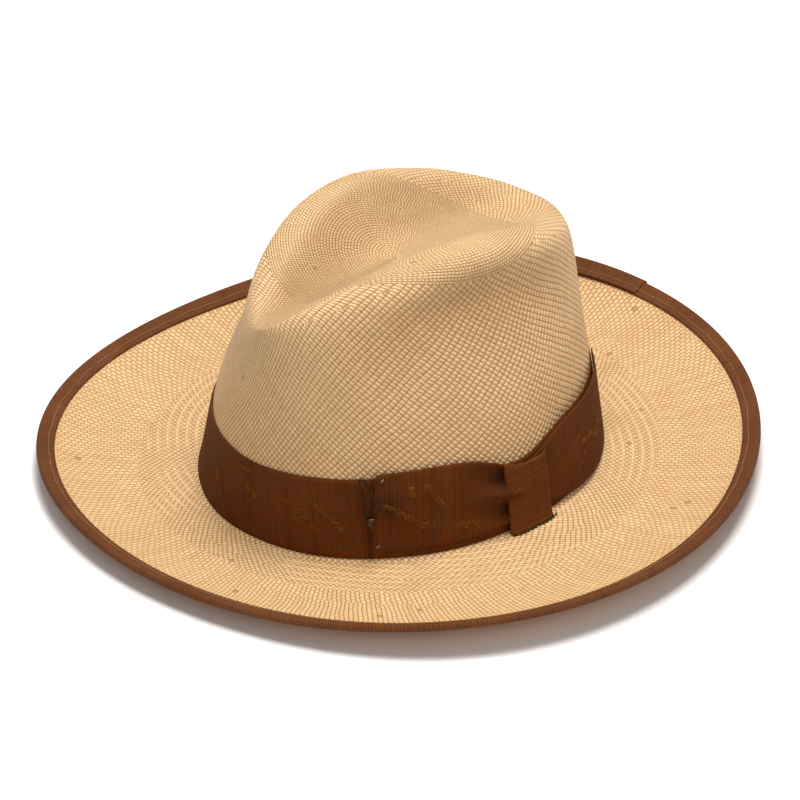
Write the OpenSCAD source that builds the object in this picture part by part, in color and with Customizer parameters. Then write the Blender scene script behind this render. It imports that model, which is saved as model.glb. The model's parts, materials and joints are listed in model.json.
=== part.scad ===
// Woven straw hat with a teardrop crown, a ribbon band with a flat bow, a bound brim,
// a leather sweatband inside and a safety pin hung through the ribbon.
// Millimetres. +Z is up, -Y is the front of the hat and +X is the wearer's left.
// The origin is the centre of the head opening, on the plane that the hat stands on.

/* [Head opening] */
// Half width of the crown's foot, outside the straw
foot_half_w = 86; // [80:0.5:92]
// Half length of the crown's foot, outside the straw
foot_half_l = 104; // [98:0.5:110]
// Height of the brim's top face where it leaves the crown
foot_z = 3.4; // [3:0.1:5]

/* [Crown] */
// Mean height of the crown's rim above the foot
crown_h = 98; // [90:1:106]
// How much higher the rim stands at the two sides than at the front and back
side_rise = 19; // [10:1:22]
// Half width of the rim before it narrows
rim_half_w = 51.5; // [46:0.5:56]
// Half length of the rim
rim_half_l = 100; // [94:0.5:102]
// Share by which the teardrop narrows toward the front
teardrop = 0.6; // [0.3:0.05:0.7]
// Height of the top dent's centre above the foot
dent_h = 101; // [94:1:108]
// Depth of the pinch in each side of the crown
pinch_depth = 9; // [0:0.5:10]
// Share of the crown's taper that is a straight slope
straight_share = 0.54; // [0.4:0.01:0.65]

/* [Brim] */
// Half width of the brim
brim_half_w = 161; // [150:0.5:170]
// Half length of the brim
brim_half_l = 172.5; // [162:0.5:182]
// Mean rise of the brim's edge above the foot
brim_rise = 11.8; // [9:0.2:14]
// Extra rise at the back, taken off at the front
back_kick = 3; // [0:0.2:4]
// How sharply the rise gathers at the edge
curl_power = 3.2; // [2:0.1:4]
// Thickness of the woven straw
straw_t = 1.4; // [1.2:0.1:1.8]

/* [Ribbons] */
// Width of the hat band
band_w = 36; // [32:0.5:40]
// Thickness of one layer of ribbon
ribbon_t = 0.7; // [0.5:0.1:0.8]
// Width of the brim's binding on each face
binding_w = 6.8; // [5:0.2:8]

/* [Sweatband] */
// Height of the leather above its stitched foot
sweat_h = 34; // [28:1:38]
// Thickness of the leather
leather_t = 1.2; // [0.8:0.1:1.4]

/* [Safety pin] */
// Length of the safety pin from coil to cap
pin_l = 25; // [23:0.5:26]
// Diameter of the pin's wire
wire_d = 0.8; // [0.7:0.05:0.9]

/* [Hidden] */
$fn = 32;

around = 72;           // stations round the hat
skin_gap = 0.2;        // clearance between neighbouring skins
straw_colour = "burlywood";
ribbon_colour = "saddlebrown";

// ---- Small helpers ----
function unit(v) = v / norm(v);
function mix(a, b, s) = a * (1 - s) + b * s;
function joined(lists) = [for (l = lists, item = l) item];
function flat(v) = [v[0], v[1], 0];
// The angle from b to a, between half a turn back and half a turn on.
function turned_from(a, b) = (a - b + 540) % 360 - 180;

// Two triangles for each cell of a grid of rows whose points close into a loop.
function grid_faces(rows, cols, close_rows = false, turned = false) =
    [for (r = [0 : rows - (close_rows ? 1 : 2)], c = [0 : cols - 1], half = [0, 1])
        let (r2 = (r + 1) % rows, c2 = (c + 1) % cols,
             p = r * cols + c, q = r * cols + c2, u = r2 * cols + c, v = r2 * cols + c2)
        turned ? (half == 0 ? [p, q, u] : [q, v, u]) : (half == 0 ? [p, u, q] : [q, u, v])];

// A strip of triangles across one closed section, from its first half to its second.
function cap_faces(first, cols, turned) =
    [for (k = [0 : cols / 2 - 2], half = [0, 1])
        let (p = first + k, q = p + 1, v = first + cols - 2 - k, u = v + 1)
        turned ? (half == 0 ? [p, v, q] : [p, u, v]) : (half == 0 ? [p, q, v] : [p, v, u])];

// A ring of closed sections, the last joined to the first.
module ring_of(sections)
    polyhedron(points = joined(sections),
               faces = grid_faces(len(sections), len(sections[0]), true));

// A bar of closed sections with both ends capped.
module bar_of(sections) {
    rows = len(sections);
    cols = len(sections[0]);
    polyhedron(points = joined(sections),
               faces = concat(grid_faces(rows, cols), cap_faces(0, cols, false),
                              cap_faces((rows - 1) * cols, cols, true)));
}

// A skin of rings between two poles.
module skin_of(first_pole, rings, last_pole) {
    rows = len(rings);
    cols = len(rings[0]);
    pole = rows * cols;
    last = (rows - 1) * cols;
    polyhedron(points = concat(joined(rings), [first_pole, last_pole]),
               faces = concat(grid_faces(rows, cols, turned = true),
                              [for (c = [0 : cols - 1]) [pole, (c + 1) % cols, c]],
                              [for (c = [0 : cols - 1])
                                  [pole + 1, last + c, last + (c + 1) % cols]]));
}

// ---- The straw's outer face. Angle a is 0 at +X and -90 at the front. ----
// Foot of the crown: an ellipse.
function foot_pt(a) = [foot_half_w * cos(a), foot_half_l * sin(a), foot_z];

// Rim of the crown: a teardrop that stands highest at the sides. The small terms
// are the hand-shaped lean of this crown.
rim_lean = -5.8;
rim_back = 1.5;
function rim_pt(a) =
    [rim_half_w * cos(a) * (1 - teardrop * pow((1 - sin(a)) / 2, 1.5)) + rim_lean,
     rim_half_l * sin(a) + rim_back,
     foot_z + crown_h - 6.6 * sin(a) + side_rise * pow(cos(a), 2) + 2.9 * cos(a) - 2.8 * sin(2 * a)
         + 0.8 * cos(4 * a)];

// Pinch: a soft hollow under the rim, one on each side, ahead of the middle. It is
// deepest at four fifths of the height and dies out at the rim.
function pinch(a, h) =
    let (ahead = atan2(-sin(a), abs(cos(a))))
    pinch_depth * exp(-pow((ahead - 12) / 42, 2)) * pow(sin(180 * pow(h, 3.1)), 2);

// Side of the crown: straight slope near the foot, rounding over to the rim at h = 1.
// It breaks into the brim over a small flare.
break_r = 3;
function round_power(a) =
    3.9 + 2.3 * sin(a) + 1.1 * exp(-pow(turned_from(a, -144) / 50, 2));
function side_pt(a, h, flared = 1) =
    let (f = foot_pt(a), r = rim_pt(a), n = round_power(a),
         s = straight_share * h + (1 - straight_share) * (1 - pow(1 - pow(h, n), 1 / n)),
         tall = r[2] - f[2],
         low = max(0, 1 - h * tall / break_r),
         flare = flared * break_r * (1 - sqrt(1 - low * low)),
         p = mix(f, r, s) + flare * unit(flat(f)))
    [p[0] - pinch(a, h) * cos(a), p[1], f[2] + tall * h];

// Top of the crown: the rim falls in a half wave to the dent's centre at s = 1.
dent_c = [-3, 0, foot_z + dent_h];
function top_pt(a, s) =
    let (r = rim_pt(a), wave = (1 - cos(180 * s)) / 2)
    [mix(r[0], dent_c[0], s), mix(r[1], dent_c[1], s), mix(r[2], dent_c[2], wave)];

// Edge of the brim, with the uneven set of a worn brim.
function edge_pt(a) =
    let (k = 1 + 0.011 * sin(2 * a) - 0.031 * sin(3 * a))
    [brim_half_w * cos(a) * k + 4.5, brim_half_l * sin(a) * k + 1.2,
     foot_z + brim_rise + back_kick * sin(a) - 2.6 * sin(2 * a) + 1.5 * cos(3 * a)
         - 0.9 * sin(3 * a) - 0.8 * cos(4 * a)];
function brim_pt(a, r) =
    let (f = side_pt(a, 0), e = edge_pt(a))
    [mix(f[0], e[0], r), mix(f[1], e[1], r), f[2] + (e[2] - f[2]) * pow(r, curl_power)];

// The whole outer face as one run: u is 0 at the dent, 1 at the rim, 2 at the foot, 3 at the edge.
function face_pt(a, u) = u <= 1 ? top_pt(a, 1 - u) : u <= 2 ? side_pt(a, 2 - u) : brim_pt(a, u - 2);
function face_normal(a, u) =
    let (du = 0.004, lo = max(u - du, 0.01), hi = min(u + du, 3))
    unit(cross(face_pt(a, hi) - face_pt(a, lo), face_pt(a + 0.5, u) - face_pt(a - 0.5, u)));
function skin_pt(a, u, depth) = face_pt(a, u) - depth * face_normal(a, u);

// A point on the crown's side at height z above the foot, moved out by d level with the floor.
function wall_pt(a, z, d, flared = 1) =
    let (h = max(0, z / (rim_pt(a)[2] - foot_z)), p = side_pt(a, h, flared),
         t = unit(flat(side_pt(a + 0.5, h, flared) - side_pt(a - 0.5, h, flared))))
    [p[0] + d * t[1], p[1] - d * t[0], foot_z + z];

station = [for (i = [0 : around - 1]) i * 360 / around];

// ---- Straw: one weave, in three stretches that meet at the rim and at the foot ----
tip_runs = concat([for (i = [1 : 7]) i / 8], [1]);
side_runs = [1, 1.004, 1.014, 1.035, 1.07, 1.12, 1.18, 1.26, 1.36, 1.5, 1.66, 1.82, 1.95, 1.975, 1.99, 2];
brim_runs = [2, 2.1, 2.3, 2.5, 2.7, 2.85, 2.94, 3];
function backward(list) = [for (i = [len(list) - 1 : -1 : 0]) list[i]];
// The skin's section at angle a: out along the runs, and back along its inner face.
function straw_section(a, runs) =
    concat([for (u = runs) face_pt(a, u)], [for (u = backward(runs)) skin_pt(a, u, straw_t)]);

module straw_tip()
    color(straw_colour)
        skin_of(dent_c,
                concat([for (u = tip_runs) [for (a = station) face_pt(a, u)]],
                       [for (u = backward(tip_runs)) [for (a = station) skin_pt(a, u, straw_t)]]),
                dent_c - [0, 0, straw_t]);

module straw_side()
    color(straw_colour) ring_of([for (a = station) straw_section(a, side_runs)]);

module straw_brim()
    color(straw_colour) ring_of([for (a = station) straw_section(a, brim_runs)]);

// One layer of ribbon with the clearance under it.
layer = skin_gap + ribbon_t;

// ---- Brim binding: ribbon folded over the edge ----
function edge_u(a, w) = 3 - w / norm(flat(edge_pt(a) - side_pt(a, 0)));
function edge_out(a) = unit(face_pt(a, 3) - face_pt(a, 2.96));
// A folded section between depths of cloth: inner is its clearance from the straw.
function folded(a, w, inner, t) =
    let (n = face_normal(a, 2.99), o = edge_out(a), e = face_pt(a, 3), u = edge_u(a, w),
         top = face_pt(a, u), under = skin_pt(a, u, straw_t), mid = e - n * straw_t / 2,
         g = inner, s = inner + t, half = straw_t / 2)
    [top + n * s, e + n * s + o * 0.1, mid + o * s + n * half * 0.6,
     mid + o * s - n * half * 0.6, e - n * (straw_t + s) + o * 0.1, under - n * s,
     under - n * g, e - n * (straw_t + g), mid + o * (g + 0.05) - n * (half + g) * 0.5,
     mid + o * (g + 0.05) + n * (half + g) * 0.5, e + n * g, top + n * g];

module brim_binding()
    color(ribbon_colour) ring_of([for (a = station) folded(a, binding_w, skin_gap, ribbon_t)]);

// The tape's end laps over its start behind the left ear.
lap_from = 86;
lap_to = 104;
module binding_lap()
    color("sienna")
        bar_of([for (a = [lap_from : 2 : lap_to])
            folded(a, binding_w - 0.3, skin_gap + layer, ribbon_t)]);

// One running line of thread a third of the way in from the tape's inner edge.
stitch_lift = 0.45;
function thread(a, p, n, o, r) = [p + n * r, p + o * r, p - n * r, p - o * r];
module binding_stitches()
    color("peru")
        ring_of([for (a = station)
            let (u = edge_u(a, binding_w * 0.6), n = face_normal(a, u),
                 lapped = a > lap_from - 3 && a < lap_to + 3,
                 lift = layer + stitch_lift + (lapped ? layer : 0))
            thread(a, face_pt(a, u) + n * lift, n, unit(face_pt(a, u + 0.01) - face_pt(a, u)), 0.2)]);

// ---- Hat band and bow ----
leaf_front = -54.7;
knot_front = -16.5;
knot_back = -2.2;
tail_back = 46;
knot_mid = (knot_front + knot_back) / 2;
leaf_gap = 0.6;        // clearance between the band and the leaf on it

// The band is a little higher at the front, and the knot draws its upper edge down.
band_foot = 1.2;
band_dip = 7;
function band_top(a) =
    band_w - 2 * sin(a) + band_foot - band_dip * exp(-pow(turned_from(a, knot_mid) / 13, 2));
// A ribbon's section on the crown between heights lo and hi, standing off by d. Its upper
// edge is behind its middle by the angle lean, and its lower edge is ahead by as much.
function on_wall(a, lo, hi, d, t, steps = 4, flared = 1, lean = 0) =
    let (line = [for (i = [0 : steps]) [a + lean * (2 * i / steps - 1), mix(lo, hi, i / steps)]])
    concat([for (p = line) wall_pt(p[0], p[1], d, flared)],
           [for (p = backward(line)) wall_pt(p[0], p[1], d + t, flared)]);

module hat_band()
    color(ribbon_colour)
        ring_of([for (a = station) on_wall(a, band_foot, band_top(a), skin_gap, ribbon_t)]);

// Share of the leaf's width lost to the gather beside the knot.
function gather(a) = exp(-pow((a - knot_mid) / 12, 2));

// The leaf lies a little high on the band, and its gathered end stands off the crown.
leaf_lean = 2.1;
module bow_leaf()
    color("brown")
        bar_of([for (a = [leaf_front : 3 : knot_mid - 1])
            let (g = gather(a))
            on_wall(a, band_foot + 1.6 + 3.6 * g, band_top(a) + 2.5 - 2.2 * g,
                    layer + leaf_gap + 1.6 * g, ribbon_t, lean = leaf_lean * (1 - g))]);

// The tail leaf swells outward before its end is tucked flat against the band.
tail_swell = 3.2;
module bow_tail()
    color("brown")
        bar_of([for (a = [knot_mid + 1 : 3 : tail_back])
            let (g = gather(a), way = (a - knot_mid) / (tail_back - knot_mid),
                 swell = tail_swell * sin(180 * way) * (1 - g))
            on_wall(a, band_foot + 1 + 5 * g, band_top(a) + 1.5 + 1.5 * way - 3.2 * g,
                    layer + leaf_gap + 1.2 * g + swell, ribbon_t)]);

// The knot wraps both leaves and arches between its two edges.
knot_arch = 1.6;
knot_lean = 0.7;
module bow_knot()
    color("chocolate")
        bar_of([for (a = [knot_front : 2 : knot_back])
            let (way = (a - knot_front + 0.5) / (knot_back - knot_front + 1),
                 arch = knot_arch * sqrt(sin(180 * way)))
            on_wall(a, band_foot - 0.4, band_top(a) + 1 - 1.5 * way, 2 * layer + 1.7 + arch,
                    ribbon_t, 3, lean = knot_lean)]);

// A short straight stitch at angle a and height z on the crown, d off its face.
module tack(a, z, d, l, r, turn)
    translate(wall_pt(a, z, d + r)) rotate([0, 0, a]) rotate([turn, 0, 0])
        cylinder(h = l, r = r, center = true);

module bow_tack_stitches()
    color("tan")
        for (side = [-1, 1])
            tack(leaf_front + 2.5 + side * leaf_lean, band_w / 2 + 4.8 + side * 14.5,
                 2 * layer + leaf_gap, 1.4, 0.25, 40);

module band_tack_stitches()
    color([0.25, 0.18, 0.1])
        for (i = [0 : 6])
            tack(knot_front + 1 + i * 2, 0.3, 2.4, 1.4, 0.25, 90);

// ---- Sweatband ----
// The leather follows the crown's inner face. Its foot stands on a tape folded round a reed.
sweat_foot = 0.3;
sweat_in = straw_t + 2 * skin_gap + 0.2;
sweat_face = -sweat_in - leather_t;
module sweatband()
    color("sandybrown")
        ring_of([for (a = station)
            on_wall(a, sweat_foot, sweat_foot + sweat_h, sweat_face, leather_t, 5, 0)]);

// The reed's centre line lies level under the middle of the leather. Its tape is an
// eight-sided wrap that rests on the floor with one flat.
reed_r = 0.9;
tape_half = 1.6;
tape_bore = reed_r + 0.12;
reed_sides = 8;
half_side = 180 / reed_sides;
function reed_pt(a, r, i) =
    let (t = unit(flat(foot_pt(a + 0.5) - foot_pt(a - 0.5))), out = [t[1], -t[0], 0],
         turn = half_side * (2 * i + 1))
    flat(foot_pt(a)) - out * (sweat_in + leather_t / 2) + [0, 0, tape_half]
        + r * (out * cos(turn) + [0, 0, 1] * sin(turn));
module reed()
    color("ivory")
        ring_of([for (a = station) [for (i = [reed_sides - 1 : -1 : 0]) reed_pt(a, reed_r, i)]]);

// The tape is open along its top side, where the leather is sewn down.
module reed_tape()
    color("wheat")
        ring_of([for (a = station)
            concat([for (i = [reed_sides + 1 : -1 : 2]) reed_pt(a, tape_half / cos(half_side), i)],
                   [for (i = [2 : reed_sides + 1]) reed_pt(a, tape_bore / cos(half_side), i)])]);

module sweatband_stitches()
    color("white")
        ring_of([for (a = station)
            let (p = wall_pt(a, sweat_foot + 3.5, sweat_face - 0.3, 0))
            thread(a, p, [0, 0, 1], unit(flat(p)), 0.2)]);

// Small flat bow over the sweatband's rear seam.
bow_z = 18;
loop_from = 1.8;
loop_reach = 8;
module sweat_bow()
    color("black")
        for (side = [-1, 1])
            bar_of([for (i = [-2.5 : 2.5])
                let (a = 90 + side * (loop_from + loop_reach / 2) + i * loop_reach / 5,
                     far = (abs(a - 90) - loop_from) / loop_reach,
                     w = 3.6 - 5.6 * pow(far - 0.6, 2))
                on_wall(a, bow_z - w, bow_z + w, sweat_face - 1.3, 0.9, 2, 0)]);

module sweat_bow_knot()
    color("black")
        translate(wall_pt(90, bow_z, sweat_face - 1.2, 0)) cube([4.4, 1.8, 6], center = true);

// ---- Safety pin ----
// The pin hangs in front of the leaf's end. In its own frame x runs along the ribbon
// toward the back, -y stands out from the ribbon and the cap is down -z.
pin_stand = 4.2;
coil_a = -55.5;
coil_z = 39.5;
coil_at = wall_pt(coil_a, coil_z, pin_stand);
cap_at = wall_pt(coil_a + 0.8, coil_z - 24, pin_stand);
pin_up = unit(coil_at - cap_at);
pin_along = unit(cross(pin_up, coil_at - wall_pt(coil_a, coil_z, 0)));
pin_in = cross(pin_up, pin_along);
module pin_place()
    multmatrix([for (i = [0 : 2]) [pin_along[i], pin_in[i], pin_up[i], coil_at[i]]])
        children();

coil_r = 1.5;
wire_r = wire_d / 2;
wire_off = 0.55;       // each wire's distance from the pin's middle plane
cap_mouth = 7 - pin_l;
cap_w = 4.8;
cap_t = 2.8;

// Points of the coil's turn between two directions, 0 toward +x.
function turn_pts(from, to) =
    [for (i = [0 : 14]) let (w = mix(from, to, i / 14)) [coil_r * cos(w), coil_r * sin(w)]];
// A round bar along a flat path at distance y from the middle plane, its tip drawn in by tip.
function wire_sections(path, y, tip) =
    [for (k = [0 : len(path) - 1])
        let (v = unit(path[min(k + 1, len(path) - 1)] - path[max(k - 1, 0)]),
             r = k == len(path) - 1 ? wire_r * tip : wire_r)
        [for (i = [0 : 7])
            [path[k][0] - v[1] * r * sin(45 * i), y + r * cos(45 * i),
             path[k][1] + v[0] * r * sin(45 * i)]]];

module pin_back()
    color([0.45, 0.38, 0.22]) pin_place()
        bar_of(wire_sections(concat([[-1.3, cap_mouth + 0.3], [-1.2, -12], [-1.3, -6]],
                                    turn_pts(180, -105)),
                             wire_off, 1));

// The arm's eye turns beside the coil, and its point rests inside the cap.
module pin_arm()
    color([0.5, 0.42, 0.25]) pin_place()
        bar_of(wire_sections(concat(turn_pts(285, 0),
                                    [[1.9, -2], [2.6, -4], [3.5, -7], [4.3, -10], [4.6, -12.5],
                                     [4.2, -15], [3.1, -17.3], [1.6, -19.4]]),
                             -wire_off, 0.2));

// The cap is a shield with a slot on its open side for the arm's point.
module pin_cap()
    color([0.55, 0.42, 0.15]) pin_place()
        difference() {
            rotate([90, 0, 0]) linear_extrude(height = cap_t, center = true)
                polygon([[-cap_w / 2 + 0.5, cap_mouth], [cap_w / 2 - 0.5, cap_mouth],
                         [cap_w / 2, cap_mouth - 1.2], [cap_w / 2 - 0.1, cap_mouth - 2.8],
                         [cap_w / 4, cap_mouth - 5.4], [0.5, -pin_l], [-0.5, -pin_l],
                         [-cap_w / 4, cap_mouth - 5.4], [-cap_w / 2 + 0.1, cap_mouth - 2.8],
                         [-cap_w / 2, cap_mouth - 1.2]]);
            translate([-0.2, -wire_off - wire_r - 0.2, -pin_l + 3.8])
                cube([cap_w, wire_d + 0.4, pin_l]);
        }

straw_tip();
straw_side();
straw_brim();
brim_binding();
binding_lap();
binding_stitches();
hat_band();
bow_leaf();
bow_tail();
bow_knot();
bow_tack_stitches();
band_tack_stitches();
sweatband();
reed();
reed_tape();
sweatband_stitches();
sweat_bow();
sweat_bow_knot();
pin_back();
pin_arm();
pin_cap();
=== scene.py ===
"""Looks of a woven straw hat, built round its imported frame.

The hat's outer face is one closed form, the same as the frame's: a teardrop crown on an
oval foot and a brim whose rise gathers at its edge. Every piece is a surface over that form,
worked out as whole arrays. Lengths are metres and angles are radians: angle 0 is the
wearer's left (+X) and the front is at minus a quarter turn (-Y).
"""

from __future__ import annotations

import json
import logging
import math
from dataclasses import dataclass, field
from enum import Enum
from typing import Callable, Sequence

import bpy
import numpy as np
from mathutils import Matrix, Vector


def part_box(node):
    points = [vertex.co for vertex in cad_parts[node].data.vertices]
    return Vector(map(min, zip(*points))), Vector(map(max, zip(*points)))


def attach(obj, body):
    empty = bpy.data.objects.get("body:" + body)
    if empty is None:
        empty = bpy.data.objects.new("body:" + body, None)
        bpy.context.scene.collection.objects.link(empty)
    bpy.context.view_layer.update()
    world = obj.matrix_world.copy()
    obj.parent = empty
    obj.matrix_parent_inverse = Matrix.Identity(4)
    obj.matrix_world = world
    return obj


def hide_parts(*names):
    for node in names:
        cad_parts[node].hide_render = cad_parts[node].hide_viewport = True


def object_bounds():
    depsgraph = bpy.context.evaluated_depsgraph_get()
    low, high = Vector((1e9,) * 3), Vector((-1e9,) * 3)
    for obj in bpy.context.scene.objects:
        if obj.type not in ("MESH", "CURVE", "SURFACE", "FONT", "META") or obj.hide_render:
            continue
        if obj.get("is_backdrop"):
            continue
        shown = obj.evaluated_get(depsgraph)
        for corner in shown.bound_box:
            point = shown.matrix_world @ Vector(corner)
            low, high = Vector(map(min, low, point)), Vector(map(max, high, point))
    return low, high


LOG = logging.getLogger("hat")
MM = 0.001
DM = 0.1
TURN = 2.0 * math.pi
Array = np.ndarray
Socket = bpy.types.NodeSocket
Colour = tuple[float, float, float]


class Body(Enum):
    """The rigid bodies that pieces ride on."""

    HAT = "hat"
    PIN_ARM = "pin_arm"


def unit(v: Array) -> Array:
    """Vectors along the last axis, brought to length one."""
    return v / np.maximum(np.linalg.norm(v, axis=-1, keepdims=True), 1e-12)


def smooth(x: Array, lo: float, hi: float) -> Array:
    """Soft step: 3t^2 - 2t^3 with t = (x - lo) / (hi - lo), held to 0..1."""
    t = np.clip((x - lo) / (hi - lo), 0.0, 1.0)
    return t * t * (3.0 - 2.0 * t)


def bell(x: Array, middle: float, reach: float) -> Array:
    """Bell curve exp(-((x - middle) / reach)^2)."""
    return np.exp(-(((x - middle) / reach) ** 2))


def grid_map(rows: Array, cols: Array) -> Array:
    """A UV grid of two values, each spread over the other's axis."""
    return np.stack(np.broadcast_arrays(rows, cols), -1)


def run_of(points: Array, axis: int) -> Array:
    """Run along an axis of points, from zero: the steps' lengths, summed.

    Args:
        points: Points, with their parts on the last axis.
        axis: The axis to follow.

    Returns:
        The runs.
    """
    steps = np.linalg.norm(np.diff(points, axis=axis), axis=-1)
    start = np.zeros_like(np.take(steps, [0], axis=axis))
    return np.concatenate([start, np.cumsum(steps, axis)], axis)


# ---------------------------------------------------------------------------
# The hat's closed form
# ---------------------------------------------------------------------------


@dataclass(frozen=True)
class HatForm:
    """The outer face of the straw, as the frame has it."""

    foot_half_w: float = 86.0 * MM
    foot_half_l: float = 104.0 * MM
    foot_z: float = 3.4 * MM
    crown_h: float = 98.0 * MM
    side_rise: float = 19.0 * MM
    rim_half_w: float = 51.5 * MM
    rim_half_l: float = 100.0 * MM
    rim_lean: float = -5.8 * MM
    rim_back: float = 1.5 * MM
    teardrop: float = 0.6
    dent_h: float = 101.0 * MM
    pinch_depth: float = 9.0 * MM
    straight_share: float = 0.54
    flare_r: float = 3.0 * MM
    brim_half_w: float = 161.0 * MM
    brim_half_l: float = 172.5 * MM
    brim_rise: float = 11.8 * MM
    back_kick: float = 3.0 * MM
    curl_power: float = 3.2
    straw_t: float = 1.4 * MM

    @property
    def dent(self) -> Array:
        """The lowest point of the dent in the crown's top."""
        return np.array([-3.0 * MM, 0.0, self.foot_z + self.dent_h])

    def foot(self, a: Array) -> Array:
        """The crown's foot: an ellipse (w cos a, l sin a)."""
        x, y = self.foot_half_w * np.cos(a), self.foot_half_l * np.sin(a)
        return np.stack([x, y, self.foot_z + 0.0 * a], -1)

    def rim(self, a: Array) -> Array:
        """The crown's rim: a teardrop, narrowing as ((1 - sin a) / 2)^1.5 toward the front.

        Args:
            a: Angles round the hat.

        Returns:
            Points on the rim.
        """
        c, s = np.cos(a), np.sin(a)
        x = self.rim_half_w * c * (1.0 - self.teardrop * ((1.0 - s) / 2.0) ** 1.5) + self.rim_lean
        y = self.rim_half_l * s + self.rim_back
        waves = -6.6 * s + 2.9 * c - 2.8 * np.sin(2.0 * a) + 0.8 * np.cos(4.0 * a)
        return np.stack([x, y, self.foot_z + self.crown_h + self.side_rise * c * c + waves * MM], -1)

    def pinch(self, a: Array, h: Array) -> Array:
        """Depth of the side pinch: a bell round the hat times sin^2(pi h^3.1) up the side."""
        ahead = np.degrees(np.arctan2(-np.sin(a), np.abs(np.cos(a))))
        return self.pinch_depth * bell(ahead, 12.0, 42.0) * np.sin(np.pi * h**3.1) ** 2

    def side(self, a: Array, h: Array, flared: float = 1.0) -> Array:
        """The crown's side at share h of its height.

        The taper is a straight share plus a superellipse 1 - (1 - h^n)^(1/n), where n is
        3.9 + 2.3 sin a, fuller at the wearer's front right. The foot breaks out over a quarter circle.

        Args:
            a: Angles round the hat.
            h: Shares of the height, 0 at the foot and 1 at the rim.
            flared: 1 with the break at the foot, 0 without.

        Returns:
            Points on the side.
        """
        a, h = np.broadcast_arrays(np.asarray(a, float), np.clip(h, 0.0, 1.0))
        f, r = self.foot(a), self.rim(a)
        front_right = np.degrees(np.mod(a + np.radians(324.0), TURN)) - 180.0
        n = 3.9 + 2.3 * np.sin(a) + 1.1 * bell(front_right, 0.0, 50.0)
        share = self.straight_share * h + (1.0 - self.straight_share) * (1.0 - (1.0 - h**n) ** (1.0 / n))
        tall = r[..., 2] - f[..., 2]
        low = np.clip(1.0 - h * tall / self.flare_r, 0.0, 1.0)
        flare = flared * self.flare_r * (1.0 - np.sqrt(1.0 - low * low))
        out = unit(f * [1.0, 1.0, 0.0])
        p = f + (r - f) * share[..., None] + flare[..., None] * out
        return np.stack([p[..., 0] - self.pinch(a, h) * np.cos(a), p[..., 1], f[..., 2] + tall * h], -1)

    def top(self, a: Array, s: Array) -> Array:
        """The crown's top: straight in plan from rim to dent, falling as (1 - cos(pi s)) / 2.

        Args:
            a: Angles round the hat.
            s: Shares of the way from rim to dent.

        Returns:
            Points on the top.
        """
        a, s = np.broadcast_arrays(np.asarray(a, float), s)
        r, d = self.rim(a), self.dent
        fall = (1.0 - np.cos(np.pi * s)) / 2.0
        share = np.stack([s, s, fall], -1)
        return r * (1.0 - share) + d * share

    def edge(self, a: Array) -> Array:
        """The brim's edge: an oval with the uneven set of a worn brim in low harmonics.

        Args:
            a: Angles round the hat.

        Returns:
            Points on the edge.
        """
        k = 1.0 + 0.011 * np.sin(2.0 * a) - 0.031 * np.sin(3.0 * a)
        waves = -2.6 * np.sin(2 * a) + 1.5 * np.cos(3 * a) - 0.9 * np.sin(3 * a) - 0.8 * np.cos(4 * a)
        z = self.foot_z + self.brim_rise + self.back_kick * np.sin(a) + waves * MM
        x = self.brim_half_w * np.cos(a) * k + 4.5 * MM
        y = self.brim_half_l * np.sin(a) * k + 1.2 * MM
        return np.stack([x, y, z], -1)

    def brim(self, a: Array, r: Array) -> Array:
        """The brim: straight in plan from foot to edge, rising as the share to the curl power.

        Args:
            a: Angles round the hat.
            r: Shares of the way from foot to edge.

        Returns:
            Points on the brim.
        """
        a, r = np.broadcast_arrays(np.asarray(a, float), r)
        f, e = self.side(a, np.zeros_like(r)), self.edge(a)
        share = np.stack([r, r, np.maximum(r, 0.0) ** self.curl_power], -1)
        return f * (1.0 - share) + e * share

    def face(self, a: Array, u: Array) -> Array:
        """The whole outer face.

        Args:
            a: Angles round the hat.
            u: 0 at the dent, 1 at the rim, 2 at the foot, 3 at the brim's edge.

        Returns:
            Points on the face.
        """
        a, u = np.broadcast_arrays(np.asarray(a, float), np.asarray(u, float))
        top = self.top(a, np.clip(1.0 - u, 0.0, 1.0))
        side = self.side(a, np.clip(2.0 - u, 0.0, 1.0))
        brim = self.brim(a, u - 2.0)
        u = u[..., None]
        return np.where(u <= 1.0, top, np.where(u <= 2.0, side, brim))

    def normal(self, a: Array, u: Array) -> Array:
        """Outward normals of the face, by differences along it and round it.

        Args:
            a: Angles round the hat.
            u: The face's own u.

        Returns:
            Unit vectors.
        """
        a, u = np.broadcast_arrays(np.asarray(a, float), np.asarray(u, float))
        lo, hi = np.maximum(u - 0.003, 0.01), np.minimum(u + 0.003, 3.0)
        along = self.face(a, hi) - self.face(a, lo)
        around = self.face(a + 0.006, u) - self.face(a - 0.006, u)
        return unit(np.cross(along, around))

    def wall(self, a: Array, z: Array, d: Array, flared: float = 1.0) -> Array:
        """Points on the crown's side at height z above its foot, moved out by d level with the floor.

        Args:
            a: Angles round the hat.
            z: Heights above the foot.
            d: Stand-off from the crown's side.
            flared: 1 with the break at the foot, 0 without.

        Returns:
            Points beside the side.
        """
        a, z, d = np.broadcast_arrays(np.asarray(a, float), z, d)
        h = z / (self.rim(a)[..., 2] - self.foot_z)
        p = self.side(a, h, flared)
        t = unit((self.side(a + 0.008, h, flared) - self.side(a - 0.008, h, flared)) * [1.0, 1.0, 0.0])
        out = np.stack([t[..., 1], -t[..., 0], 0.0 * z], -1)
        p = p + d[..., None] * out
        p[..., 2] = self.foot_z + z
        return p


FORM = HatForm()


# ---------------------------------------------------------------------------
# Meshes from arrays
# ---------------------------------------------------------------------------


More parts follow.
